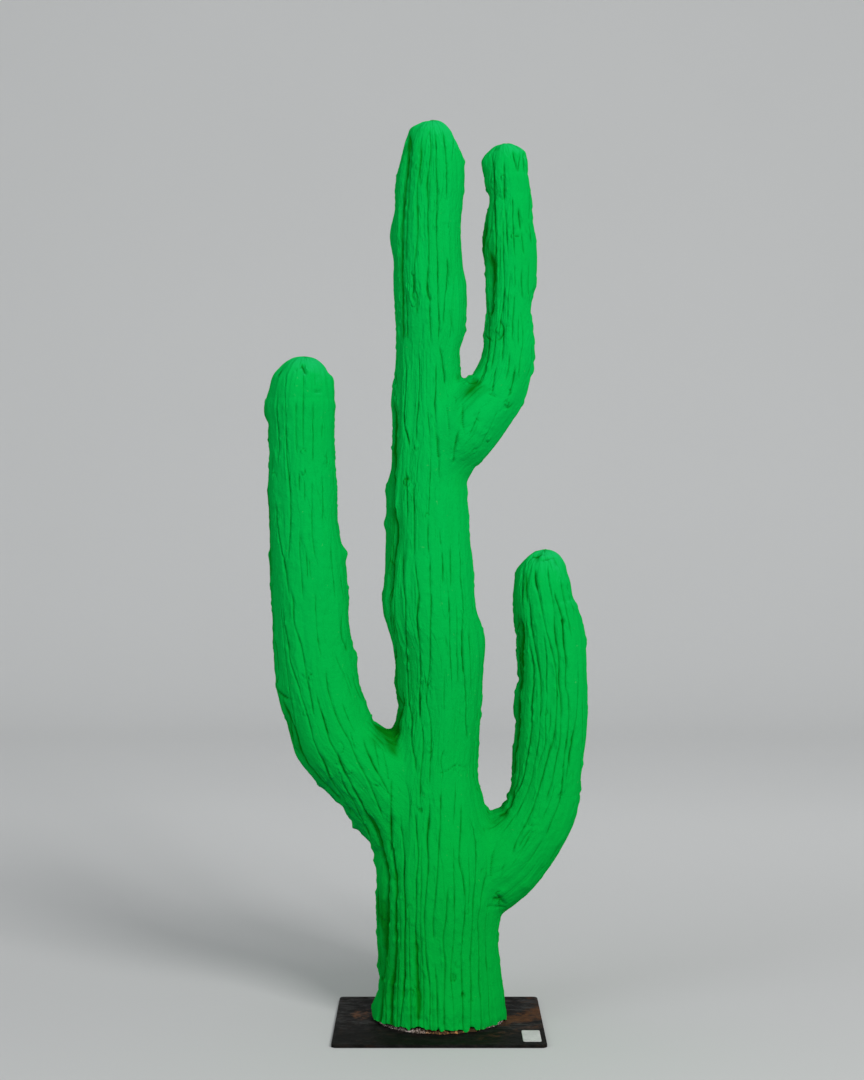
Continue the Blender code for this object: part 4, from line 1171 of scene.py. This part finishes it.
def green_paint(colours):
    """Thick green paint: a mottled coat; painted shade makes it darker and yellower low down, deeper
    and yellower in the grooves and bluer underneath, and a painted highlight makes it paler on the
    tips; pale painted glints stand on ridges; filler shows in flecks through the hem, and the skin is
    finely brushed and grainy."""
    recipe = Recipe("thick_green_paint")
    hollow = recipe.mark("hollow")
    broad = recipe.noise(16.0, 3.0)
    streak = recipe.noise(70.0, 3.0, vector=recipe.stretched((1.0, 1.0, 0.16)))
    grain = recipe.noise(420.0, 3.0, 0.6)
    speck = recipe.noise(900.0, 2.0, 0.5)
    coat = recipe.mix(colours.coat, colours.coat_shade, (broad * 0.9 + streak * 0.6 - 0.35).clipped())
    # Painted shade: darker, yellower green low down towards the foot
    high_up = (recipe.axis(2) + (broad - 0.5) * 0.2).ramp(0.02, 0.55)
    coat = recipe.mix(recipe.mix(coat, colours.coat_low, 0.75), coat, high_up)
    # Painted highlight: paler bluish green on the tops near the tips
    coat = recipe.mix(coat, colours.crown, recipe.mark("crown") * 0.8)
    # Painted shade: deeper, yellower green in the grooves, creases, dents and shade patches
    deep = (hollow * 1.05 + (streak - 0.5) * 0.15).ramp(0.05, 0.80)
    coat = recipe.mix(coat, colours.hollow, deep)
    # Painted shade: deep bluish green on the undersides
    coat = recipe.mix(coat, colours.under, recipe.mark("under") * 0.85)
    # Painted glints: pale specks on the ridges that stand in for the paint's small highlights
    scuff = (recipe.noise(240.0, 4.0, 0.6, warp=0.6) - hollow).ramp(0.66, 0.76)
    coat = recipe.mix(coat, colours.scuff, scuff * 0.25)
    hem = recipe.axis(2).ramp(0.004, 0.013)
    fleck = (recipe.noise(380.0, 3.0, 0.7, warp=0.5) - hem * 0.5).ramp(0.56, 0.66)
    coat = recipe.mix(coat, colours.fleck, fleck * 0.55)
    skin = grain * 0.7 + recipe.noise(230.0, 2.0) * 0.6 + streak * 0.5 + speck * 0.25
    return recipe.finish(
        Base_Color=coat,
        Roughness=0.56 + (grain - 0.5) * 0.25 + hollow * 0.15,
        Normal=recipe.bump(skin, 0.0010, 0.6),
        Specular_IOR_Level=0.0,
    )


def dark_steel(colours):
    """Hot-rolled plate: dark mill scale, rubbed places, and brown rust that runs in patches."""
    recipe = Recipe("mill_scale_steel")
    right = recipe.axis(0)
    back = recipe.axis(1)
    broad = recipe.noise(22.0, 5.0, 0.6, warp=0.4)
    streak = recipe.noise(60.0, 4.0, 0.65, vector=recipe.stretched((0.28, 1.0, 1.0)), warp=0.7)
    fine = recipe.noise(500.0, 4.0, 0.6)
    blotch = recipe.noise(85.0, 5.0, 0.7, warp=0.8)
    drawn = recipe.noise(150.0, 5.0, 0.75, vector=recipe.stretched((0.42, 1.0, 1.0)), warp=0.8)
    pale = (broad * 0.4 + blotch * 0.7 + (drawn - 0.5) * 3.2 - 0.22).ramp(0.1, 0.8)
    scale = recipe.mix(colours.steel, colours.steel_pale, pale)
    front = (0.0 - back).ramp(0.015, 0.050)
    scale = recipe.mix(scale, colours.steel, front * 0.78)
    band = back - (right - 0.066) * 0.8 + 0.004
    rust_place = (1.0 - band * band * 1300.0).clipped() * right.ramp(0.050, 0.068)
    rust_place = (rust_place + (right * 9.0 + back * 3.0).ramp(0.70, 1.25) * 0.45).clipped()
    mottle = recipe.noise(150.0, 6.0, 0.75, warp=0.5)
    rust = (rust_place * 0.55 + (streak - 0.5) * 0.9 + (mottle - 0.5) * 1.7 - 0.10).ramp(0.10, 0.50)
    tone = (recipe.noise(170.0, 5.0, 0.7) * 1.8 - 0.45).clipped()
    patch = recipe.mix(colours.rust_dark, colours.rust, tone)
    low_band = back - (right - 0.062) * 0.7 + 0.050
    low_rust = (1.0 - low_band * low_band * 9000.0).clipped() * right.ramp(0.030, 0.048)
    rust_or_scale = recipe.mix(scale, colours.rust_dark, (mottle - 0.2).ramp(0.30, 0.50) * 0.30)
    coat = recipe.mix(rust_or_scale, patch, rust * rust_place.ramp(0.0, 0.5) * 0.9)
    coat = recipe.mix(coat, patch, low_rust * (mottle + drawn - 0.5).ramp(0.40, 0.65) * 0.45)
    left_way = right + 0.078
    rear_way = back - 0.020
    left_spot = mottle * 1.3 - left_way * left_way * 1500.0 - rear_way * rear_way * 500.0
    coat = recipe.mix(coat, colours.rust, left_spot.ramp(0.50, 0.70) * 0.6)
    dusty = (fine * 0.4 + drawn * 0.6).ramp(0.60, 0.80)
    coat = recipe.mix(coat, colours.dust, dusty * (1.0 - front) * 0.30)
    return recipe.finish(
        Base_Color=coat,
        Roughness=0.66 + rust * 0.2 + (fine - 0.5) * 0.2,
        Normal=recipe.bump(fine * 0.6 + streak * 0.6 + broad * 0.4, 0.0004, 0.6),
        Specular_IOR_Level=0.04,
    )


def bare_filler(colours):
    """Bare filler round the foot: pinkish white where clean, orange brown where rust has wept."""
    recipe = Recipe("stained_filler")
    broad = recipe.noise(26.0, 4.0, 0.6, warp=0.5)
    fine = recipe.noise(330.0, 4.0, 0.6)
    chips = recipe.noise(190.0, 2.0, 0.6, warp=0.8)
    thread = recipe.noise(120.0, 2.0, 0.6, warp=1.5) - 0.5
    right = recipe.axis(0) - 0.012
    brown = (broad * 1.1 + fine * 0.5 - right * right * 320.0).ramp(0.30, 0.60)
    coat = recipe.mix(colours.filler, colours.filler_brown, brown)
    coat = recipe.mix(coat, colours.rust_dark, fine.ramp(0.55, 0.72) * 0.55)
    open_way = (thread * thread * 260.0 + chips - 0.42).ramp(0.10, 0.32)
    coat = recipe.mix(coat, colours.gap, open_way * 0.92)
    return recipe.finish(
        Base_Color=coat,
        Roughness=0.82 + (fine - 0.5) * 0.2,
        Normal=recipe.bump(fine, 0.0009, 0.9),
        Specular_IOR_Level=0.2,
    )


def sticker_paper(colours):
    """A blank paper label: pale grey, slightly soiled in cloudy patches, with paper fibre."""
    recipe = Recipe("sticker_paper")
    cloudy = recipe.noise(90.0, 4.0, 0.6)
    fibre = recipe.noise(900.0, 3.0, 0.6, vector=recipe.stretched((1.0, 0.35, 1.0)))
    coat = recipe.mix(colours.paper, colours.paper_soiled, (cloudy * 1.5 - 0.4).clipped())
    coat = recipe.mix(coat, colours.paper_soiled, fibre.ramp(0.5, 0.75) * 0.5)
    return recipe.finish(
        Base_Color=coat,
        Roughness=0.55 + (fibre - 0.5) * 0.2,
        Normal=recipe.bump(fibre, 0.00012, 0.6),
        Specular_IOR_Level=0.3,
    )


def studio_paint(colours):
    """The plain backdrop and floor: pale grey, faintly uneven, a little deeper underfoot."""
    recipe = Recipe("studio_paint")
    cloudy = recipe.noise(1.6, 3.0)
    coat = recipe.mix(colours.floor, colours.backdrop, recipe.axis(1).ramp(-0.1, 1.4))
    coat = recipe.mix(coat, (0.0, 0.0, 0.0), cloudy * 0.03)
    return recipe.finish(Base_Color=coat, Roughness=0.92, Specular_IOR_Level=0.1)


def colour(name, what, value):
    """A colour setting."""
    return FloatVectorProperty(
        name=name, description=what, subtype="COLOR", size=3, min=0.0, max=1.0, default=value
    )


def metres(name, what, value):
    """A length setting."""
    return FloatProperty(
        name=name, description=what, default=value, min=0.0, unit="LENGTH", precision=4
    )


def scaled(name, what, highest):
    """A share that is 1 when the piece is as drawn."""
    return FloatProperty(name=name, description=what, default=1.0, min=0.0, max=highest)


def points_round(name, what, value, lowest):
    """A number of points."""
    return IntProperty(name=name, description=what, default=value, min=lowest)


class SaguaroColours(PropertyGroup):
    """Colours of the paint, the plate, the filler, the sticker and the studio"""

    coat: colour("Paint", "Green of the ridges", (0.001, 0.430, 0.069))
    coat_shade: colour("Paint, second tone", "Green of the thinner patches", (0.001, 0.372, 0.050))
    # Painted shade towards the foot
    coat_low: colour("Paint, low down", "Yellower green towards the foot", (0.001, 0.350, 0.032))
    # Painted shade in the grooves
    hollow: colour("Paint in hollows", "Deep yellowish green of the grooves", (0.001, 0.170, 0.006))
    under: colour("Undersides", "Deep bluish green of the shaded undersides", (0.0, 0.200, 0.050))
    # Painted highlight on the tops
    crown: colour("Tops", "Paler bluish green of the rounded tops", (0.012, 0.500, 0.145))
    # Painted glints on the ridges, standing in for the paint's small highlights
    scuff: colour("Scuffs", "Pale green of rubbed ridges", (0.16, 0.60, 0.20))
    fleck: colour("Flecks", "Filler showing through the hem", (0.42, 0.42, 0.22))
    steel: colour("Steel", "Dark mill scale", (0.0046, 0.0044, 0.0040))
    steel_pale: colour("Steel, rubbed", "Scale where it has been rubbed", (0.040, 0.038, 0.038))
    rust: colour("Rust", "Brightest rust", (0.165, 0.068, 0.030))
    rust_dark: colour("Rust, dark", "Darkest rust", (0.050, 0.026, 0.016))
    dust: colour("Dust", "Dust on the plate", (0.12, 0.11, 0.10))
    filler: colour("Filler", "Clean filler", (0.56, 0.46, 0.42))
    filler_brown: colour("Filler, stained", "Filler stained by rust", (0.42, 0.185, 0.060))
    gap: colour("Gaps", "Dirt between chips of filler", (0.018, 0.012, 0.006))
    paper: colour("Sticker", "Clean paper", (0.62, 0.62, 0.60))
    paper_soiled: colour("Sticker, soiled", "Soiled paper", (0.40, 0.40, 0.39))
    floor: colour("Floor", "Pale floor", (0.575, 0.575, 0.57))
    backdrop: colour("Backdrop", "Pale backdrop behind the floor", (0.765, 0.765, 0.755))


class SaguaroSizes(PropertyGroup):
    """Sizes of the relief, the foot, the plate's edge and the limbs' points"""

    groove_depth: scaled("Groove depth", "Depth of all grooves, as a share of their drawn depth", 1.5)
    swell: scaled("Swell", "Height of the broad unevenness, as a share of its drawn height", 2.0)
    hem_drop: metres("Hem drop", "How far the painted hem wanders up and down", 0.0020)
    edge_wear: metres("Plate edge", "Rounding of the plate's worn edge", 0.0006)
    trunk_columns: points_round("Trunk columns", "Points round the trunk", 700, 48)
    arm_columns: points_round("Arm columns", "Points round an arm", 440, 36)
    row_step: metres("Row step", "Distance between rows of points along a limb", 0.0015)


def make_limbs():
    """The trunk and the three arms, with every groove and lump drawn or grown on them. A limb's own
    back grows its grooves from its root, or past the trunk, to just short of its tip."""
    limbs = {
        "trunk": Limb(TRUNK, (-0.0072, 0.8978), 0.44, (0.0, 0.0), (1.0, 0.92, 0.112), 11),
        "left_arm": Limb(LEFT_ARM, (-0.1330, 0.6612), 0.45, (0.0, -0.014), (0.72, 0.95, 0.16), 23),
        "right_arm": Limb(RIGHT_ARM, (0.1062, 0.4685), 0.45, (0.006, 0.012), (0.90, 0.95, 0.10), 37),
        "upper_arm": Limb(UPPER_ARM, (0.0658, 0.8745), 0.38, (-0.005, 0.0), (0.95, 0.95, 0.10), 51),
    }
    for name, joint in JOINTS.items():
        limbs[name].joint = joint
    trunk = limbs["trunk"]
    for name, limb in limbs.items():
        limb.draw(GROOVES[name], LUMPS[name])
        limb.curl(CURLS[name])
        limb.coarse = limb.spots(ROUGH_PLACES[name])
        # The patches of painted shade
        limb.stains = limb.spots(SHADE_PATCHES[name])
    for name in JOINTS:
        trunk.share(GROOVES[name], trunk.length)
        limbs[name].share(GROOVES["trunk"], 0.15)
    trunk.grow(-0.16, math.pi + 0.16, 0.0115, 0.86, 0.0, 0.34)
    trunk.grow(-0.12, math.pi + 0.12, 0.0105, 0.84, 0.30, 0.87)
    for name in JOINTS:
        limb = limbs[name]
        limb.grow(-0.14, math.pi + 0.14, 0.0088, 0.86, 0.05, limb.length - 0.012)
    return limbs


def wandering_hem(drop):
    """The foot's painted edge: heights under 30 mm are stretched so that the lowest ring follows
    three scales of noise round the trunk, with runs of paint that reach almost to the plate."""
    def shape(surface, turn):
        none = np.zeros_like(turn)
        wave = 0.8 * cloud(none, turn, 0.1, 19, 71) + 1.1 * cloud(none, turn, 0.1, 53, 72)
        wave += 1.0 * cloud(none, turn, 0.1, 143, 73) * (0.5 + cloud(none, turn, 0.1, 31, 75)) - 0.3
        for middle, width, rise in HEM_BELLS:
            wave += rise * bell(turn, middle, width)
        share = np.clip((0.030 - surface[:, 2]) / 0.022, 0, 1) ** 2
        over = surface[:, 2] + drop * wave * share - HEM_FLOOR
        surface[:, 2] = HEM_FLOOR + 0.5 * (over + np.hypot(over, 0.8 * MM))
        out = 0.7 * cloud(surface[:, 2], turn, 0.006, 131, 74) + 1.2
        out += 1.2 * bell(turn, -2.50, 0.40)
        out *= MM * np.clip(share * 1.5 - 0.6, 0, 1)
        surface[:, 0] += out * np.cos(turn)
        surface[:, 1] += out * np.sin(turn)
        return surface
    return shape


def rows_of(limb, step):
    """Lengths along a limb: even steps, closing up over the dome as the sine of an even angle."""
    body = np.arange(0, limb.shoulder, step)
    dome = limb.length - limb.shoulder
    count = max(8, int(1.5 * dome / step))
    cap = limb.shoulder + dome * np.sin(np.linspace(0, 0.5 * math.pi, count + 1)[:-1])
    return np.concatenate((body, cap))


def dressed_limb(limbs, name, cuts, nodes, columns, sizes):
    """One limb as stacked closed pieces, cut at the given lengths; normals run across the cuts."""
    limb = limbs[name]
    others = [limbs[key] for key in limbs if key != name] if name == "trunk" else [limbs["trunk"]]
    lengths = rows_of(limb, sizes.row_step)
    hem = wandering_hem(sizes.hem_drop) if name == "trunk" else None
    grid, normal, marks = worked_surface(
        limb, others, lengths, columns, sizes.groove_depth, sizes.swell, hem
    )
    beyond = 0.2 * (grid[-1].mean(axis=0) - grid[-3].mean(axis=0))
    edges = [0] + [int(np.searchsorted(lengths, cut)) for cut in cuts] + [len(lengths) - 1]
    paint = bpy.data.materials.get("thick_green_paint")
    paint = paint or green_paint(bpy.context.scene.saguaro_colours)
    for number in range(len(edges) - 1):
        rows = slice(edges[number], edges[number + 1] + 1)
        tip = grid[-1].mean(axis=0) + beyond if number == len(edges) - 2 else None
        title = "{}_{}_skin".format(name, ("lower", "middle", "upper", "high", "top")[number])
        piece = closed_skin(title, grid[rows], normal[rows], marks[rows], tip)
        piece.data.materials.append(paint)
        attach(piece, "root")
        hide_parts(*nodes)


class SAGUARO_OT_trunk(Operator):
    """Makes the grooved trunk, in stacked pieces"""

    bl_idname = "saguaro.trunk"
    bl_label = "Trunk"

    def execute(self, context):
        sizes = context.scene.saguaro_sizes
        cuts = (0.186, 0.372, 0.558, 0.742)
        dressed_limb(make_limbs(), "trunk", cuts, ("trunk",), sizes.trunk_columns, sizes)
        return {"FINISHED"}


class SAGUARO_OT_arms(Operator):
    """Makes the three grooved arms"""

    bl_idname = "saguaro.arms"
    bl_label = "Arms"

    def execute(self, context):
        sizes = context.scene.saguaro_sizes
        limbs = make_limbs()
        for name, cut in (("left_arm", 0.290), ("right_arm", 0.205), ("upper_arm", 0.170)):
            nodes = (name + "_root", name + "_shaft")
            dressed_limb(limbs, name, (cut,), nodes, sizes.arm_columns, sizes)
        return {"FINISHED"}


class SAGUARO_OT_filler(Operator):
    """Makes the lumpy rim of bare filler under the painted hem"""

    bl_idname = "saguaro.filler"
    bl_label = "Filler rim"

    def execute(self, context):
        low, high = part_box("foot_crust")
        inset = np.array((0.0, 0.2, 0.7, 1.4, 2.3, 3.4, 4.8, 7.0, 12.0))[:, None]
        share = np.array((0.0, 0.18, 0.36, 0.52, 0.66, 0.80, 0.92, 1.0, 1.0))[:, None]
        turn = np.broadcast_to(np.linspace(0, TURN, 900, endpoint=False), (9, 900))
        none = np.zeros_like(turn)
        lumps = cloud(none, turn, 0.1, 37, 5) * 1.2 + cloud(none, turn, 0.1, 97, 6) * 1.2
        grit = cloud(inset / 1000 * 2 + none, turn, 0.004, 240, 9)
        radius = (67.2 + lumps - inset + 0.9 * grit * share) * MM
        radius -= 2.6 * MM * bell(turn, -2.75, 0.42)
        height = (high[2] - low[2]) * share * (0.74 + 0.14 * lumps * share + 0.30 * grit)
        height = np.clip(height, 0.0, high[2] - low[2])
        place = (radius * np.cos(turn), AXIS_Y + radius * np.sin(turn), low[2] + height)
        rings = np.stack(place, axis=-1)
        piece = closed_skin("filler_rim", rings)
        piece.data.materials.append(bare_filler(context.scene.saguaro_colours))
        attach(piece, "root")
        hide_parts("foot_crust")
        return {"FINISHED"}


class SAGUARO_OT_plate(Operator):
    """Makes the worn steel plate"""

    bl_idname = "saguaro.plate"
    bl_label = "Steel plate"

    def execute(self, context):
        low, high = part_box("base_plate")
        wear = context.scene.saguaro_sizes.edge_wear
        outline = rounded_rectangle(low, high, 0.005, 12, 90)
        quarter = np.linspace(0, 0.5 * math.pi, 6)
        drawn_in = wear * (1 - np.sin(quarter)), wear * (1 - np.cos(quarter)), (0.0016, 0.004)
        inset = np.concatenate(drawn_in)
        lower = low[2] + wear * (1 - np.cos(quarter))
        upper = high[2] - wear * (1 - np.sin(quarter))
        rise = np.concatenate((lower, upper, (high[2],) * 2))
        piece = ring_slab("steel_plate", outline, rise, inset)
        piece.data.materials.append(dark_steel(context.scene.saguaro_colours))
        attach(piece, "root")
        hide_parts("base_plate")
        return {"FINISHED"}


class SAGUARO_OT_sticker(Operator):
    """Makes the blank sticker at the plate's corner"""

    bl_idname = "saguaro.sticker"
    bl_label = "Blank sticker"

    def execute(self, context):
        low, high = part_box("blank_sticker")
        plate_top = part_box("base_plate")[1][2]
        outline = rounded_rectangle(low, high, 0.002, 8, 24)
        rise = np.array((plate_top + 0.00002, high[2] - 0.0001, high[2], high[2]))
        piece = ring_slab("sticker_blank", outline, rise, (0.0, 0.0, 0.0001, 0.0015))
        piece.data.materials.append(sticker_paper(context.scene.saguaro_colours))
        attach(piece, "root")
        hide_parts("blank_sticker")
        return {"FINISHED"}


def soft_light(name, place, aim, across, watts, tint):
    """A square lamp at a place, turned to a point."""
    data = bpy.data.lights.new(name, "AREA")
    data.shape = "SQUARE"
    data.size = across
    data.energy = watts
    data.color = tint
    lamp = bpy.data.objects.new(name, data)
    bpy.context.scene.collection.objects.link(lamp)
    way = np.array(aim) - np.array(place)
    lamp.location = place
    tilt = math.atan2(math.hypot(way[0], way[1]), -way[2])
    lamp.rotation_euler = (tilt, 0.0, math.atan2(-way[0], way[1]))


class SAGUARO_OT_stage(Operator):
    """Makes the plain floor that curves up into a backdrop, the soft lights and the camera"""

    bl_idname = "saguaro.stage"
    bl_label = "Stage, lights and camera"

    def execute(self, context):
        scene = context.scene
        bend = np.linspace(0, 0.5 * math.pi, 24)
        depth = np.concatenate(((-6.0, -3.0, 0.0, 1.5), 2.4 + 1.4 * np.sin(bend), (3.8,)))
        rise = np.concatenate(((0.0, 0.0, 0.0, 0.0), 1.4 - 1.4 * np.cos(bend), (6.0,)))
        across = np.linspace(-8, 8, 17)
        x, y = np.meshgrid(across, depth, indexing="ij")
        z = np.broadcast_to(rise, x.shape)
        points = np.stack((x, y, z), axis=-1).reshape(-1, 3)
        index = np.arange(x.size).reshape(x.shape)
        corners = (index[:-1, :-1], index[1:, :-1], index[1:, 1:], index[:-1, 1:])
        faces = np.stack(corners, axis=-1).reshape(-1, 4)
        mesh = bpy.data.meshes.new("backdrop")
        mesh.from_pydata(points.tolist(), [], faces.tolist())
        mesh.polygons.foreach_set("use_smooth", np.ones(len(faces), dtype=bool))
        backdrop = bpy.data.objects.new("backdrop", mesh)
        scene.collection.objects.link(backdrop)
        mesh.materials.append(studio_paint(scene.saguaro_colours))
        soft_light("key", (1.55, -2.4, 2.2), (0, 0, 0.5), 1.2, 79.0, (1.0, 1.0, 1.0))
        soft_light("fill", (-2.4, -2.0, 1.4), (0, 0, 0.4), 1.6, 18.0, (0.92, 0.96, 1.0))
        world = bpy.data.worlds.new("studio_air")
        world.use_nodes = True
        air = world.node_tree.nodes["Background"]
        air.inputs["Color"].default_value = (0.94, 0.97, 1.0, 1.0)
        air.inputs["Strength"].default_value = 0.48
        scene.world = world
        scene.view_settings.view_transform = "Standard"
        data = bpy.data.cameras.new("camera")
        data.lens = LENS
        data.sensor_width = SENSOR
        data.shift_y = LENS_SHIFT
        data.clip_end = 60.0
        camera = bpy.data.objects.new("camera", data)
        camera.location = EYE.tolist()
        camera.rotation_euler = (0.5 * math.pi, 0.0, 0.0)
        scene.collection.objects.link(camera)
        scene.camera = camera
        return {"FINISHED"}


class SAGUARO_PT_panel(Panel):
    """The saguaro's settings and pieces in the sidebar"""

    bl_idname = "SAGUARO_PT_panel"
    bl_label = "Painted saguaro"
    bl_space_type = "VIEW_3D"
    bl_region_type = "UI"
    bl_category = "Saguaro"

    def draw(self, context):
        layout = self.layout
        for group in (context.scene.saguaro_sizes, context.scene.saguaro_colours):
            box = layout.box()
            for name in group.__annotations__:
                box.prop(group, name)
        for name in PIECES:
            layout.operator("saguaro." + name)


PIECES = ("trunk", "arms", "filler", "plate", "sticker", "stage")
CLASSES = (
    SaguaroColours, SaguaroSizes, SAGUARO_OT_trunk, SAGUARO_OT_arms, SAGUARO_OT_filler,
    SAGUARO_OT_plate, SAGUARO_OT_sticker, SAGUARO_OT_stage, SAGUARO_PT_panel,
)


def register():
    """Adds the settings, the pieces' operators and the panel."""
    for kind in CLASSES:
        bpy.utils.register_class(kind)
    bpy.types.Scene.saguaro_colours = PointerProperty(type=SaguaroColours)
    bpy.types.Scene.saguaro_sizes = PointerProperty(type=SaguaroSizes)


def unregister():
    """Removes what register added."""
    del bpy.types.Scene.saguaro_sizes
    del bpy.types.Scene.saguaro_colours
    for kind in reversed(CLASSES):
        bpy.utils.unregister_class(kind)


def main():
    register()
    for name in PIECES:
        getattr(bpy.ops.saguaro, name)()


if __name__ == "__main__":
    main()
